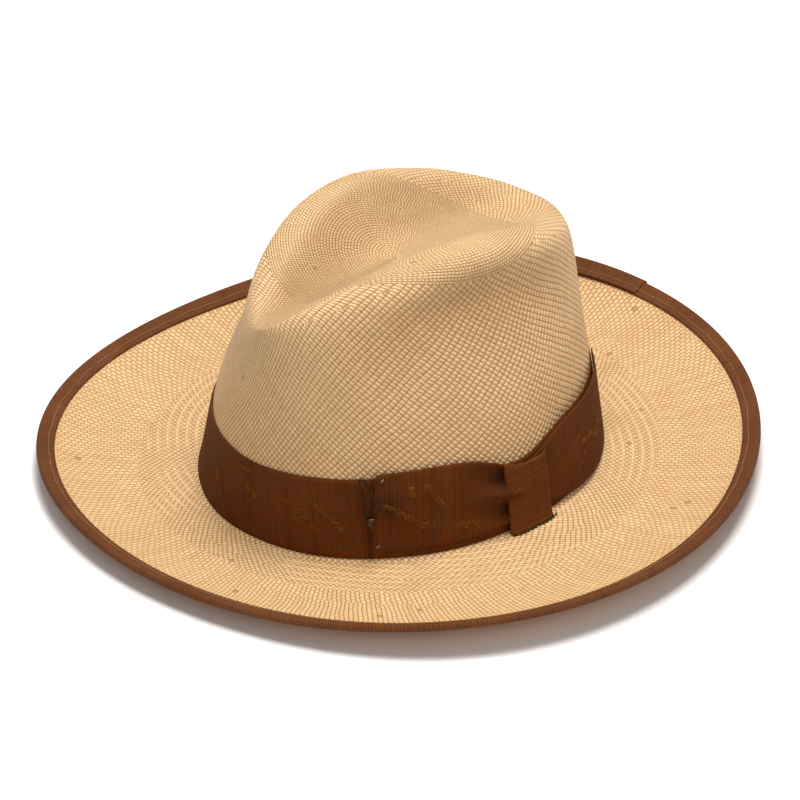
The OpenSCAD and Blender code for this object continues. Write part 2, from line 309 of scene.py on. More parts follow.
@dataclass
class Patch:
    """One grid of points with its UV maps, ready to be put into a mesh.

    Faces run [p, q, v, u] over rows r and columns c, where q is the next column and u the next
    row, or the other way about when turned.
    """

    points: Array
    wrap_rows: bool = False
    wrap_cols: bool = False
    turned: bool = False
    cap_rows: bool = False
    uvs: dict[str, Array] = field(default_factory=dict)
    values: dict[str, Array] = field(default_factory=dict)

    def quads(self) -> tuple[Array, Array]:
        """Corner indices of the quads into the points, and into a UV grid one larger where wrapped.

        Returns:
            The two index arrays.
        """
        rows, cols = self.points.shape[:2]
        nr, nc = rows - (not self.wrap_rows), cols - (not self.wrap_cols)
        r, c = np.meshgrid(np.arange(nr), np.arange(nc), indexing="ij")
        r2, c2 = r + 1, c + 1
        order = [(r, c), (r, c2), (r2, c2), (r2, c)]
        if self.turned:
            order = order[::-1]
        vert = np.stack([(i % rows) * cols + j % cols for i, j in order], -1).reshape(-1, 4)
        wide = cols + self.wrap_cols
        uv = np.stack([i * wide + j for i, j in order], -1).reshape(-1, 4)
        return vert, uv


def build_mesh(name: str, patches: Sequence[Patch]) -> bpy.types.Object:
    """Puts patches into one mesh object at the origin.

    Args:
        name: The piece's name.
        patches: The grids that make it up.

    Returns:
        The new object, shaded smooth.
    """
    verts, corners, starts, totals = [], [], [], []
    uv_names = sorted({k for p in patches for k in p.uvs})
    val_names = sorted({k for p in patches for k in p.values})
    uv_rows: dict[str, list[Array]] = {k: [] for k in uv_names}
    val_rows: dict[str, list[Array]] = {k: [] for k in val_names}
    base = loop = 0
    for p in patches:
        rows, cols = p.points.shape[:2]
        flat = p.points.reshape(-1, 3)
        vert, uv = p.quads()
        verts.append(flat)
        corners.append((vert + base).ravel())
        starts.append(loop + 4 * np.arange(len(vert)))
        totals.append(np.full(len(vert), 4))
        loop += 4 * len(vert)
        for k in uv_names:
            grid = p.uvs.get(k)
            uv_rows[k].append(grid.reshape(-1, 2)[uv.ravel()] if grid is not None else np.zeros((uv.size, 2)))
        for k in val_names:
            grid = p.values.get(k)
            val_rows[k].append(grid.ravel() if grid is not None else np.zeros(len(flat)))
        if p.cap_rows:
            for first, back in ((0, not p.turned), ((rows - 1) * cols, p.turned)):
                ring = first + np.arange(cols)
                ring = ring[::-1] if back else ring
                corners.append(ring + base)
                starts.append(np.array([loop]))
                totals.append(np.array([cols]))
                loop += cols
                for k in uv_names:
                    grid = p.uvs.get(k)
                    near = grid[0 if first == 0 else -1, 0] if grid is not None else np.zeros(2)
                    uv_rows[k].append(np.tile(near, (cols, 1)))
        base += len(flat)
    mesh = bpy.data.meshes.new(name)
    points = np.concatenate(verts)
    mesh.vertices.add(len(points))
    mesh.vertices.foreach_set("co", points.astype(np.float32).ravel())
    indices = np.concatenate(corners).astype(np.int32)
    mesh.loops.add(len(indices))
    mesh.loops.foreach_set("vertex_index", indices)
    first = np.concatenate(starts).astype(np.int32)
    mesh.polygons.add(len(first))
    mesh.polygons.foreach_set("loop_start", first)
    mesh.polygons.foreach_set("loop_total", np.concatenate(totals).astype(np.int32))
    mesh.update(calc_edges=True)
    for k in uv_names:
        layer = mesh.uv_layers.new(name=k)
        layer.data.foreach_set("uv", np.concatenate(uv_rows[k]).astype(np.float32).ravel())
    for k in val_names:
        layer = mesh.attributes.new(name=k, type="FLOAT", domain="POINT")
        layer.data.foreach_set("value", np.concatenate(val_rows[k]).astype(np.float32))
    mesh.validate()
    mesh.shade_smooth()
    piece = bpy.data.objects.new(name, mesh)
    bpy.context.scene.collection.objects.link(piece)
    return piece


def tube_patches(paths: Array, radii: Array, sides: int, lift: Array) -> list[Patch]:
    """Round threads along paths.

    Each section is p + r (e1 cos w + e2 sin w), with e1 across the path from the lift direction
    and e2 square to both.

    Args:
        paths: Points, shaped (threads, stations, 3).
        radii: Radii, shaped (threads, stations).
        sides: Points round each section.
        lift: A direction that no path runs along, shaped (threads, 3).

    Returns:
        One capped patch for each thread.
    """
    t = unit(np.gradient(paths, axis=1))
    e1 = unit(np.cross(t, lift[:, None, :]))
    e2 = np.cross(t, e1)
    w = TURN * np.arange(sides) / sides
    cos_w, sin_w = np.cos(w)[None, None, :, None], np.sin(w)[None, None, :, None]
    ring = e1[:, :, None, :] * cos_w + e2[:, :, None, :] * sin_w
    points = paths[:, :, None, :] + radii[:, :, None, None] * ring
    along = run_of(paths, 1)
    patches = []
    for k in range(len(paths)):
        uv = grid_map(along[k][:, None] / DM, np.linspace(0.0, 1.0, sides + 1)[None, :])
        patches.append(Patch(points[k], wrap_cols=True, turned=True, cap_rows=True, uvs={"cloth": uv}))
    return patches


def place(piece: bpy.types.Object, look: bpy.types.Material, slot: str, *nodes: str,
          body: Body = Body.HAT) -> bpy.types.Object:
    """Gives a finished piece its finish and its body, and hides the frame nodes that it stands for.

    Args:
        piece: The finished mesh object.
        look: Its material.
        slot: Not used.
        nodes: The frame nodes that it stands for.
        body: The body that it rides on.

    Returns:
        The same piece.
    """
    piece.data.materials.clear()
    piece.data.materials.append(look)
    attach(piece, body.value)
    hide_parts(*nodes)
    LOG.info("%s: %d faces", piece.name, len(piece.data.polygons))
    return piece


# ---------------------------------------------------------------------------
# Node trees
# ---------------------------------------------------------------------------


class Graph:
    """Short hand for filling a node tree."""

    def __init__(self, tree: bpy.types.NodeTree) -> None:
        """Shorthand for filling a node tree."""
        self.tree = tree

    def new(self, kind: str, **props: object) -> bpy.types.Node:
        """Adds one node and sets its properties.

        Args:
            kind: The node's type.
            props: Properties to set on it.

        Returns:
            The node.
        """
        made = self.tree.nodes.new(kind)
        for key, value in props.items():
            setattr(made, key, value)
        return made

    def put(self, socket: Socket, value: Socket | float | Sequence[float]) -> None:
        """Links a socket, or sets its default.

        Args:
            socket: The input socket.
            value: A socket or a plain value.
        """
        if isinstance(value, bpy.types.NodeSocket):
            self.tree.links.new(value, socket)
        else:
            socket.default_value = value

    def math(self, op: str, *values: Socket | float) -> Socket:
        """One math node.

        Args:
            op: The operation.
            values: The inputs, in order.

        Returns:
            The result.
        """
        made = self.new("ShaderNodeMath", operation=op)
        for k, value in enumerate(values):
            self.put(made.inputs[k], value)
        return made.outputs[0]

    def times(self, x: Socket | float, y: Socket | float) -> Socket:
        """x y."""
        return self.math("MULTIPLY", x, y)

    def plus(self, x: Socket | float, y: Socket | float) -> Socket:
        """x + y."""
        return self.math("ADD", x, y)

    def scaled(self, x: Socket | float, scale: Socket | float, more: Socket | float) -> Socket:
        """scale x + more."""
        return self.math("MULTIPLY_ADD", x, scale, more)

    def step(self, value: Socket | float, lo: float, hi: float, a: float = 0.0, b: float = 1.0) -> Socket:
        """A soft step of value from a at lo to b at hi.

        Args:
            value: The value to ease.
            lo: Where the step starts.
            hi: Where it ends.
            a: Result at the start.
            b: Result at the end.

        Returns:
            The eased value.
        """
        made = self.new("ShaderNodeMapRange", interpolation_type="SMOOTHSTEP")
        for k, v in enumerate((value, lo, hi, a, b)):
            self.put(made.inputs[k], v)
        return made.outputs[0]

    def lerp(self, share: Socket | float, a: Socket | float, b: Socket | float) -> Socket:
        """a + share (b - a) for plain values.

        Args:
            share: Share of the second value.
            a: First value.
            b: Second value.

        Returns:
            The mixed value.
        """
        made = self.new("ShaderNodeMix", data_type="FLOAT")
        self.put(made.inputs[0], share)
        self.put(made.inputs[2], a)
        self.put(made.inputs[3], b)
        return made.outputs[0]

    def tint(self, share: Socket | float, a: Socket | Colour, b: Socket | Colour, how: str = "MIX") -> Socket:
        """Mixes two colours.

        Args:
            share: Share of the second colour.
            a: First colour.
            b: Second colour.
            how: The blend.

        Returns:
            The mixed colour.
        """
        made = self.new("ShaderNodeMix", data_type="RGBA", blend_type=how)
        self.put(made.inputs[0], share)
        for k, v in ((6, a), (7, b)):
            self.put(made.inputs[k], v if isinstance(v, bpy.types.NodeSocket) else (*v, 1.0))
        return made.outputs[2]

    def noise(self, where: Socket, scale: float, detail: float = 2.0, rough: float = 0.5) -> Socket:
        """Smooth noise over a vector, about 0..1.

        Args:
            where: The place to read.
            scale: Patches in a metre.
            detail: Octaves.
            rough: Share of the finer octaves.

        Returns:
            The noise.
        """
        made = self.new("ShaderNodeTexNoise")
        self.put(made.inputs["Vector"], where)
        self.put(made.inputs["Scale"], scale)
        self.put(made.inputs["Detail"], detail)
        self.put(made.inputs["Roughness"], rough)
        return made.outputs[0]

    def chance(self, x: Socket | float, y: Socket | float, z: Socket | float = 0.0) -> Socket:
        """A steady random value for each set of whole numbers.

        Args:
            x: First number.
            y: Second number.
            z: Third number.

        Returns:
            The random value.
        """
        made = self.new("ShaderNodeTexWhiteNoise", noise_dimensions="3D")
        self.put(made.inputs["Vector"], self.vector(x, y, z))
        return made.outputs[0]

    def vector(self, x: Socket | float, y: Socket | float, z: Socket | float = 0.0) -> Socket:
        """A vector of three values.

        Args:
            x: First value.
            y: Second value.
            z: Third value.

        Returns:
            The vector.
        """
        made = self.new("ShaderNodeCombineXYZ")
        for k, v in enumerate((x, y, z)):
            self.put(made.inputs[k], v)
        return made.outputs[0]

    def split(self, vector: Socket) -> tuple[Socket, Socket, Socket]:
        """The three parts of a vector.

        Args:
            vector: The vector to split.

        Returns:
            The parts.
        """
        made = self.new("ShaderNodeSeparateXYZ")
        self.put(made.inputs[0], vector)
        return made.outputs[0], made.outputs[1], made.outputs[2]

    def uv(self, name: str) -> tuple[Socket, Socket]:
        """The two parts of a UV map."""
        x, y, _ = self.split(self.new("ShaderNodeUVMap", uv_map=name).outputs[0])
        return x, y

    def value_of(self, name: str) -> Socket:
        """A point attribute of the piece."""
        return self.new("ShaderNodeAttribute", attribute_name=name).outputs["Fac"]

    def here(self) -> Socket:
        """Object coordinates, which are the hat's own."""
        return self.new("ShaderNodeTexCoord").outputs["Object"]

    def use(self, group: bpy.types.NodeTree, **values: Socket | float | Sequence[float]) -> bpy.types.Node:
        """Places a node group with its values.

        Args:
            group: The group to place.
            values: Inputs by name.

        Returns:
            The placed group.
        """
        made = self.new("ShaderNodeGroup", node_tree=group)
        for key, value in values.items():
            self.put(made.inputs[key], value)
        return made


def start_group(name: str, inputs: dict[str, tuple[str, float]],
                outputs: Sequence[str]) -> tuple[Graph, bpy.types.Node, bpy.types.Node]:
    """Starts a shader node group.

    Args:
        name: The group's name.
        inputs: For each input its kind, "Float" or "Vector", and its default.
        outputs: The names of the value outputs.

    Returns:
        The graph, its input node and its output node.
    """
    tree = bpy.data.node_groups.new(name, "ShaderNodeTree")
    for key, (kind, default) in inputs.items():
        socket = tree.interface.new_socket(key, in_out="INPUT", socket_type=f"NodeSocket{kind}")
        if kind == "Float":
            socket.default_value = default
    for key in outputs:
        tree.interface.new_socket(key, in_out="OUTPUT", socket_type="NodeSocketFloat")
    graph = Graph(tree)
    return graph, graph.new("NodeGroupInput"), graph.new("NodeGroupOutput")


class Effects:
    """Node groups that more than one finish uses, built once."""

    def __init__(self) -> None:
        """Builds the groups."""
        self.strands = self.build_strands()
        self.ribs = self.build_ribs()
        self.soil = self.build_soil()

    @staticmethod
    def build_strands() -> bpy.types.NodeTree:
        """Two crossed strand families on a lattice of cells.

        In each cell one family passes over the other as a rounded pill, height
        sqrt(1 - across^2) (1 - along^4 / 2). The families swap from cell to cell, or with
        Brick at 1 the second family stays on top and each strand is set off by half a cell.

        Returns:
            The group.
        """
        g, given, out = start_group(
            "Crossed strands",
            {"U": ("Float", 0.0), "V": ("Float", 0.0), "Brick": ("Float", 0.0), "Slot": ("Float", 0.5)},
            ("Height", "Gap", "Tone", "Fleck"))
        u, v, brick, slot = (given.outputs[k] for k in range(4))
        iu = g.math("FLOOR", u)
        odd = g.math("MODULO", g.plus(iu, 20000.0), 2.0)
        v = g.plus(v, g.times(brick, g.times(odd, 0.5)))
        iv = g.math("FLOOR", v)
        parity = g.math("MODULO", g.plus(g.plus(iu, iv), 40000.0), 2.0)
        parity = g.math("MAXIMUM", parity, brick)
        ax = g.math("ABSOLUTE", g.scaled(g.math("FRACT", u), 2.0, -1.0))
        ay = g.math("ABSOLUTE", g.scaled(g.math("FRACT", v), 2.0, -1.0))
        across = g.lerp(parity, ay, ax)
        along = g.lerp(parity, ax, ay)
        squared = g.math("POWER", g.times(across, 0.94), 2.0)
        round_over = g.math("SQRT", g.math("SUBTRACT", 1.0, squared))
        dip = g.scaled(g.math("POWER", along, 3.0), g.lerp(brick, -0.9, -0.7), 1.0)
        height = g.times(round_over, dip)
        corner = g.times(g.step(ax, 0.35, 1.0), g.step(ay, 0.35, 1.0))
        line = g.times(g.step(across, 0.66, 1.0), slot)
        end = g.times(g.step(along, 0.66, 1.0), g.times(slot, g.lerp(brick, 0.95, 0.6)))
        gap = g.math("MAXIMUM", corner, g.math("MAXIMUM", line, end))
        strand = g.chance(g.lerp(parity, iv, iu), parity, 3.0)
        bead = g.chance(iu, iv, 7.0)
        tone = g.plus(g.times(strand, 0.55), g.times(bead, 0.45))
        fleck = g.math("GREATER_THAN", g.chance(iu, iv, 11.0), 0.9992)
        for key, value in (("Height", height), ("Gap", gap), ("Tone", tone), ("Fleck", fleck)):
            g.put(out.inputs[key], value)
        return g.tree

    @staticmethod
    def build_ribs() -> bpy.types.NodeTree:
        """Grosgrain: rounded ribs across the ribbon, each |sin| of its share, over a fine weft.

        Returns:
            The group.
        """
        g, given, out = start_group(
            "Ribbon ribs",
            {"Along": ("Float", 0.0), "Across": ("Float", 0.0), "Pitch": ("Float", 0.7)},
            ("Height", "Shade", "Tone"))
        along, across, pitch = (given.outputs[k] for k in range(3))
        wander = g.noise(g.vector(g.times(along, 90.0), g.times(across, 60.0)), 1.0, 2.0)
        x = g.math("DIVIDE", g.times(along, 1000.0), pitch)
        x = g.plus(x, g.times(wander, 0.8))
        rib = g.math("ABSOLUTE", g.math("SINE", g.times(x, math.pi)))
        weft = g.math("ABSOLUTE", g.math("SINE", g.times(across, 1000.0 * math.pi / 0.42)))
        height = g.scaled(weft, 0.18, rib)
        g.put(out.inputs["Height"], height)
        # Painted shade: Shade darkens the colour in the grooves between ribs.
        g.put(out.inputs["Shade"], g.scaled(g.math("SUBTRACT", 1.0, rib), -0.7, 1.0))
        g.put(out.inputs["Tone"], g.chance(g.math("FLOOR", x), 1.0, 2.0))
        return g.tree

    @staticmethod
    def build_soil() -> bpy.types.NodeTree:
        """Slow patches of darker and lighter tone over a whole piece, about 0..1, from noise at two sizes.

        Returns:
            The group.
        """
        g, given, out = start_group(
            "Slow soil", {"Where": ("Vector", 0.0), "Scale": ("Float", 14.0)}, ("Patch", "Grain"))
        node_a = g.new("ShaderNodeTexNoise")
        g.put(node_a.inputs["Vector"], given.outputs[0])
        g.put(node_a.inputs["Scale"], given.outputs[1])
        g.put(node_a.inputs["Detail"], 3.0)
        node_b = g.new("ShaderNodeTexNoise")
        g.put(node_b.inputs["Vector"], given.outputs[0])
        g.put(node_b.inputs["Scale"], 900.0)
        g.put(node_b.inputs["Detail"], 2.0)
        g.put(out.inputs["Patch"], g.step(node_a.outputs[0], 0.3, 0.7))
        g.put(out.inputs["Grain"], node_b.outputs[0])
        return g.tree


# ---------------------------------------------------------------------------
# Finishes
# ---------------------------------------------------------------------------


def new_material(name: str) -> tuple[bpy.types.Material, Graph, bpy.types.Node]:
    """A material with a bare Principled shader, its graph and the shader.

    Args:
        name: The material's name.

    Returns:
        The material, its graph and its shader.
    """
    look = bpy.data.materials.new(name)
    look.use_nodes = True
    graph = Graph(look.node_tree)
    shader = next(n for n in look.node_tree.nodes if n.type == "BSDF_PRINCIPLED")
    return look, graph, shader


def add_bump(g: Graph, shader: bpy.types.Node, height: Socket, distance: float) -> None:
    """Feeds a height through a Bump node into the shader's normal.

    Args:
        g: The graph to add to.
        shader: The shader to feed.
        height: The height that makes the bump.
        distance: The bump's depth in metres.
    """
    bump = g.new("ShaderNodeBump")
    bump.inputs["Distance"].default_value = distance
    g.put(bump.inputs["Height"], height)
    g.put(shader.inputs["Normal"], bump.outputs[0])


@dataclass(frozen=True)
class StrawFinish:
    """Hand-woven straw: rings on the crown's top, a diagonal lattice down its side, spokes on the brim."""

    light: Colour = (0.86, 0.585, 0.305)
    deep: Colour = (0.70, 0.43, 0.195)
    gap: Colour = (0.30, 0.135, 0.040)
    fleck: Colour = (0.20, 0.10, 0.04)
    slope_and_hollow_tint: Colour = (0.56, 0.47, 0.38)
    ring_pitch: float = 1.5 * MM
    side_pitch: float = 2.3 * MM
    brim_pitch: float = 2.15 * MM
    ring_reach: float = 66.0 * MM
    bump: float = 0.68 * MM

    def build(self, name: str, fx: Effects) -> bpy.types.Material:
        """Makes the material.

        The UV map "wrap" holds the share round the hat and the run from the dent's centre in
        decimetres; "zone" holds the girth in metres and the face's own u over 3. The strand
        count steps up with the girth, so the cells keep their size.

        Args:
            name: The material's name.
            fx: The shared effects.

        Returns:
            The material.
        """
        look, g, shader = new_material(name)
        around, run_dm = g.uv("wrap")
        girth, u3 = g.uv("zone")
        run = g.times(run_dm, 0.1)
        u = g.times(u3, 3.0)
        here = g.here()
        on_brim = g.math("GREATER_THAN", u, 2.0)
        on_top = g.times(g.math("LESS_THAN", run, self.ring_reach), g.math("SUBTRACT", 1.0, on_brim))
        far_out = g.math("GREATER_THAN", u, 2.36)
        diagonal = g.math("SUBTRACT", g.math("SUBTRACT", 1.0, on_top), far_out)
        pitch = g.lerp(on_top, g.lerp(on_brim, self.side_pitch, self.brim_pitch), self.ring_pitch)
        cell = g.times(pitch, g.scaled(diagonal, math.sqrt(2.0) - 1.0, 1.0))
        step = g.math("FLOOR", g.times(g.math("LOGARITHM", g.math("MAXIMUM", girth, 0.01), 2.0), 4.0))
        stepped = g.math("POWER", 2.0, g.math("DIVIDE", g.plus(step, 0.5), 4.0))
        count = g.math("ROUND", g.math("DIVIDE", stepped, cell))
        drift = g.scaled(g.noise(here, 55.0, 2.0), 1.5, -0.75)
        drift_b = g.scaled(g.noise(here, 48.0, 2.0), 1.0, -0.5)
        calm = g.lerp(diagonal, 1.0, 0.5)
        long_cell = g.times(cell, g.lerp(far_out, 1.0, 1.45))
        y = g.plus(g.math("DIVIDE", run, long_cell), g.times(drift_b, calm))
        ring_shift = g.times(g.chance(g.math("FLOOR", y), 5.0), g.times(on_top, 3.0))
        x = g.plus(g.times(around, count), g.times(drift, g.times(calm, 0.9)))
        x = g.plus(x, ring_shift)
        lat_u = g.plus(x, g.times(diagonal, y))
        lat_v = g.math("SUBTRACT", y, g.times(diagonal, x))
        weave = g.use(fx.strands, U=lat_u, V=lat_v, Brick=far_out, Slot=g.lerp(far_out, 0.7, 0.9))
        height, gap, tone, fleck = (weave.outputs[k] for k in range(4))
        # Smooth rings of added strands lie round the crown on the brim.
        band = g.math("SINE", g.times(run, TURN / (4.6 * MM)))
        band = g.times(g.step(band, 0.1, 0.8), g.times(on_brim, g.step(u, 2.42, 2.3)))
        band = g.times(band, g.step(g.noise(here, 22.0, 1.0), 0.38, 0.55))
        gap = g.times(gap, g.scaled(band, -0.6, 1.0))
        soil = g.use(fx.soil, Where=here, Scale=16.0)
        share = g.scaled(tone, 0.75, g.times(soil.outputs[0], 0.2))
        # Painted light: the crown's straw is mixed lighter and the brim's darker, making up for how the light
        # falls on each.
        share = g.plus(share, g.lerp(on_brim, 0.12, -0.12))
        mixed = g.tint(share, self.deep, self.light)
        mixed = g.tint(g.times(band, 0.2), mixed, self.light)
        # Painted shade: the gaps between strands are darkened, where shade falls between them.
        mixed = g.tint(g.times(gap, 0.85), mixed, self.gap)
        mixed = g.tint(g.times(fleck, 0.55), mixed, self.fleck)
        # Darkens the far slope of the dent, and paints shade into the pinch hollows under the ridge.
        slope_and_hollow_tint = g.times(g.value_of("handled"), g.scaled(soil.outputs[0], 0.25, 0.42))
        mixed = g.tint(slope_and_hollow_tint, mixed, self.slope_and_hollow_tint, "MULTIPLY")
        g.put(shader.inputs["Base Color"], mixed)
        g.put(shader.inputs["Roughness"], g.scaled(soil.outputs[1], 0.2, 0.5))
        shader.inputs["Specular IOR Level"].default_value = 0.3
        swell = g.times(height, g.scaled(band, -0.5, 1.0))
        rough = g.scaled(soil.outputs[1], 0.12, swell)
        add_bump(g, shader, rough, self.bump)
        return look


@dataclass(frozen=True)
class RibbonFinish:
    """Brown grosgrain, worn through to golden threads where the piece's "worn" value is high, and darkened
    where its "stain" value is high: a real stain, and painted shade at folds and at the leaf's end.
    """

    base: Colour = (0.200, 0.052, 0.0055)
    deep: Colour = (0.115, 0.027, 0.0025)
    gold: Colour = (0.25, 0.082, 0.011)
    stain_and_shade_colour: Colour = (0.030, 0.009, 0.003)
    pitch: float = 0.92
    bump: float = 0.2 * MM

    def build(self, name: str, fx: Effects) -> bpy.types.Material:
        """Makes the material. The UV map "cloth" holds the run along and across the ribbon in decimetres.

        Args:
            name: The material's name.
            fx: The shared effects.

        Returns:
            The material.
        """
        look, g, shader = new_material(name)
        along_dm, across_dm = g.uv("cloth")
        along, across = g.times(along_dm, 0.1), g.times(across_dm, 0.1)
        ribs = g.use(fx.ribs, Along=along, Across=across, Pitch=self.pitch)
        here = g.here()
        soil = g.use(fx.soil, Where=here, Scale=30.0)
        worn = g.value_of("worn")
        strand = g.vector(g.times(along, 520.0), g.times(across, 1500.0))
        threads = g.noise(strand, 1.0, 3.0, 0.7)
        clump = g.step(g.noise(here, 420.0, 2.0), 0.42, 0.62)
        frayed = g.times(g.times(g.step(threads, 0.48, 0.64), g.step(worn, 0.1, 0.6)), clump)
        scuff = g.times(g.step(worn, 0.0, 0.9), 0.18)
        share = g.scaled(soil.outputs[0], 0.45, g.times(ribs.outputs[2], 0.4))
        base = g.tint(share, self.deep, self.base)
        base = g.tint(scuff, base, self.gold)
        base = g.tint(frayed, base, self.gold)
        # Darkens the ribbon: a real stain, and painted shade at the leaf's end and in the folds beside the
        # knot.
        base = g.tint(g.times(g.value_of("stain"), 0.8), base, self.stain_and_shade_colour)
        # Painted shade in the rib grooves scales the colour.
        shade = g.new("ShaderNodeVectorMath", operation="SCALE")
        g.put(shade.inputs[0], base)
        g.put(shade.inputs["Scale"], ribs.outputs[1])
        g.put(shader.inputs["Base Color"], shade.outputs[0])
        g.put(shader.inputs["Roughness"], g.scaled(soil.outputs[1], 0.25, 0.55))
        shader.inputs["Specular IOR Level"].default_value = 0.12
        height = g.plus(ribs.outputs[0], g.times(frayed, 1.6))
        add_bump(g, shader, height, self.bump)
        return look


@dataclass(frozen=True)
class ThreadFinish:
    """Twisted sewing thread."""

    base: Colour
    deep: Colour

    def build(self, name: str, fx: Effects) -> bpy.types.Material:
        """Makes the material: a slant twist along the thread from its "cloth" map.

        Args:
            name: The material's name.
            fx: The shared effects.

        Returns:
            The material.
        """
        look, g, shader = new_material(name)
        along, about = g.uv("cloth")
        twist = g.math("ABSOLUTE", g.math("SINE", g.scaled(along, 520.0, g.times(about, TURN))))
        soil = g.use(fx.soil, Where=g.here(), Scale=60.0)
        share = g.scaled(twist, 0.6, g.times(soil.outputs[0], 0.4))
        g.put(shader.inputs["Base Color"], g.tint(share, self.deep, self.base))
        shader.inputs["Roughness"].default_value = 0.75
        shader.inputs["Specular IOR Level"].default_value = 0.1
        add_bump(g, shader, twist, 0.04 * MM)
        return look


@dataclass(frozen=True)
class LeatherFinish:
    """Thin tan leather with fine grain, faint creases and a darker worn line at the brow."""

    base: Colour = (0.42, 0.21, 0.095)
    deep: Colour = (0.25, 0.11, 0.045)

    def build(self, name: str, fx: Effects) -> bpy.types.Material:
        """Makes the material from a cell grain and slow soil.

        Args:
            name: The material's name.
            fx: The shared effects.

        Returns:
            The material.
        """
        look, g, shader = new_material(name)
        here = g.here()
        grain = g.new("ShaderNodeTexVoronoi", feature="DISTANCE_TO_EDGE")
        g.put(grain.inputs["Vector"], here)
        g.put(grain.inputs["Scale"], 1100.0)
        cell = g.step(grain.outputs["Distance"], 0.0, 0.12)
        soil = g.use(fx.soil, Where=here, Scale=22.0)
        _, across = g.uv("cloth")
        brow = g.step(across, 0.24, 0.05)
        share = g.plus(g.times(soil.outputs[0], 0.5), g.times(cell, 0.3))
        tone = g.tint(share, self.deep, self.base)
        g.put(shader.inputs["Base Color"], g.tint(g.times(brow, 0.3), tone, self.deep))
        g.put(shader.inputs["Roughness"], g.scaled(soil.outputs[1], 0.25, 0.38))
        add_bump(g, shader, cell, 0.05 * MM)
        return look


@dataclass(frozen=True)
class ClothFinish:
    """Plain-woven tape or satin: fine crossed threads on the "cloth" map."""

    base: Colour
    deep: Colour
    pitch: float
    roughness: float
    brick: float

    def build(self, name: str, fx: Effects) -> bpy.types.Material:
        """Makes the material from the shared strands at thread size.

        Args:
            name: The material's name.
            fx: The shared effects.

        Returns:
            The material.
        """
        look, g, shader = new_material(name)
        along, across = g.uv("cloth")
        u, v = g.times(along, DM / self.pitch), g.times(across, DM / self.pitch)
        weave = g.use(fx.strands, U=u, V=v, Brick=self.brick, Slot=0.5)
        soil = g.use(fx.soil, Where=g.here(), Scale=40.0)
        # Painted shade: the gaps between threads are darkened.
        share = g.math("SUBTRACT", g.scaled(soil.outputs[0], 0.35, 0.6), g.times(weave.outputs[1], 0.5))
        g.put(shader.inputs["Base Color"], g.tint(share, self.deep, self.base))
        shader.inputs["Roughness"].default_value = self.roughness
        add_bump(g, shader, weave.outputs[0], 0.08 * MM)
        return look


@dataclass(frozen=True)
class MetalFinish:
    """Old plated metal, bright in places and brown with tarnish in patches."""

    bright: Colour
    tarnish: Colour
    share: float

    def build(self, name: str, fx: Effects) -> bpy.types.Material:
        """Makes the material from slow soil at two sizes.

        Args:
            name: The material's name.
            fx: The shared effects.

        Returns:
            The material.
        """
        look, g, shader = new_material(name)
        soil = g.use(fx.soil, Where=g.here(), Scale=380.0)
        old = g.times(soil.outputs[0], self.share)
        g.put(shader.inputs["Base Color"], g.tint(old, self.bright, self.tarnish))
        g.put(shader.inputs["Roughness"], g.scaled(old, 0.35, 0.32))
        g.put(shader.inputs["Metallic"], g.scaled(old, -0.35, 1.0))
        add_bump(g, shader, soil.outputs[1], 0.03 * MM)
        return look


class Finishes:
    """All the finishes of the hat."""

    def __init__(self) -> None:
        """Builds every material once."""
        fx = Effects()
        self.straw = StrawFinish().build("straw_weave", fx)
        self.ribbon = RibbonFinish().build("ribbon_grosgrain", fx)
        cleaner = RibbonFinish(base=(0.215, 0.060, 0.008), deep=(0.14, 0.035, 0.004))
        self.knot = cleaner.build("knot_grosgrain", fx)
        paler = RibbonFinish(base=(0.235, 0.082, 0.026), deep=(0.15, 0.048, 0.014), pitch=1.0)
        self.binding = paler.build("binding_grosgrain", fx)
        self.thread = ThreadFinish((0.40, 0.235, 0.11), (0.22, 0.11, 0.045)).build("tan_thread", fx)
        self.gold_thread = ThreadFinish((0.35, 0.122, 0.019), (0.10, 0.028, 0.004)).build("frayed_thread", fx)
        # The near-black thread paints the shadow under the knot's lower edge.
        self.dark_thread = ThreadFinish((0.055, 0.03, 0.018), (0.02, 0.012, 0.008)).build("dark_thread", fx)
        self.white_thread = ThreadFinish((0.80, 0.76, 0.66), (0.55, 0.50, 0.40)).build("white_thread", fx)
        self.leather = LeatherFinish().build("sweat_leather", fx)
        tape = ClothFinish((0.62, 0.47, 0.30), (0.36, 0.24, 0.13), 0.45 * MM, 0.8, 0.0)
        self.tape = tape.build("cotton_tape", fx)
        satin = ClothFinish((0.035, 0.028, 0.024), (0.012, 0.010, 0.009), 0.3 * MM, 0.35, 1.0)
        self.satin = satin.build("black_satin", fx)
        reed = ClothFinish((0.80, 0.76, 0.64), (0.50, 0.45, 0.34), 0.5 * MM, 0.5, 1.0)
        self.reed = reed.build("reed_cord", fx)
        self.wire = MetalFinish((0.075, 0.042, 0.018), (0.020, 0.010, 0.004), 0.95).build("pin_wire", fx)
        self.brass = MetalFinish((0.11, 0.062, 0.020), (0.026, 0.013, 0.005), 0.9).build("pin_brass", fx)


# ---------------------------------------------------------------------------
# Straw
# ---------------------------------------------------------------------------


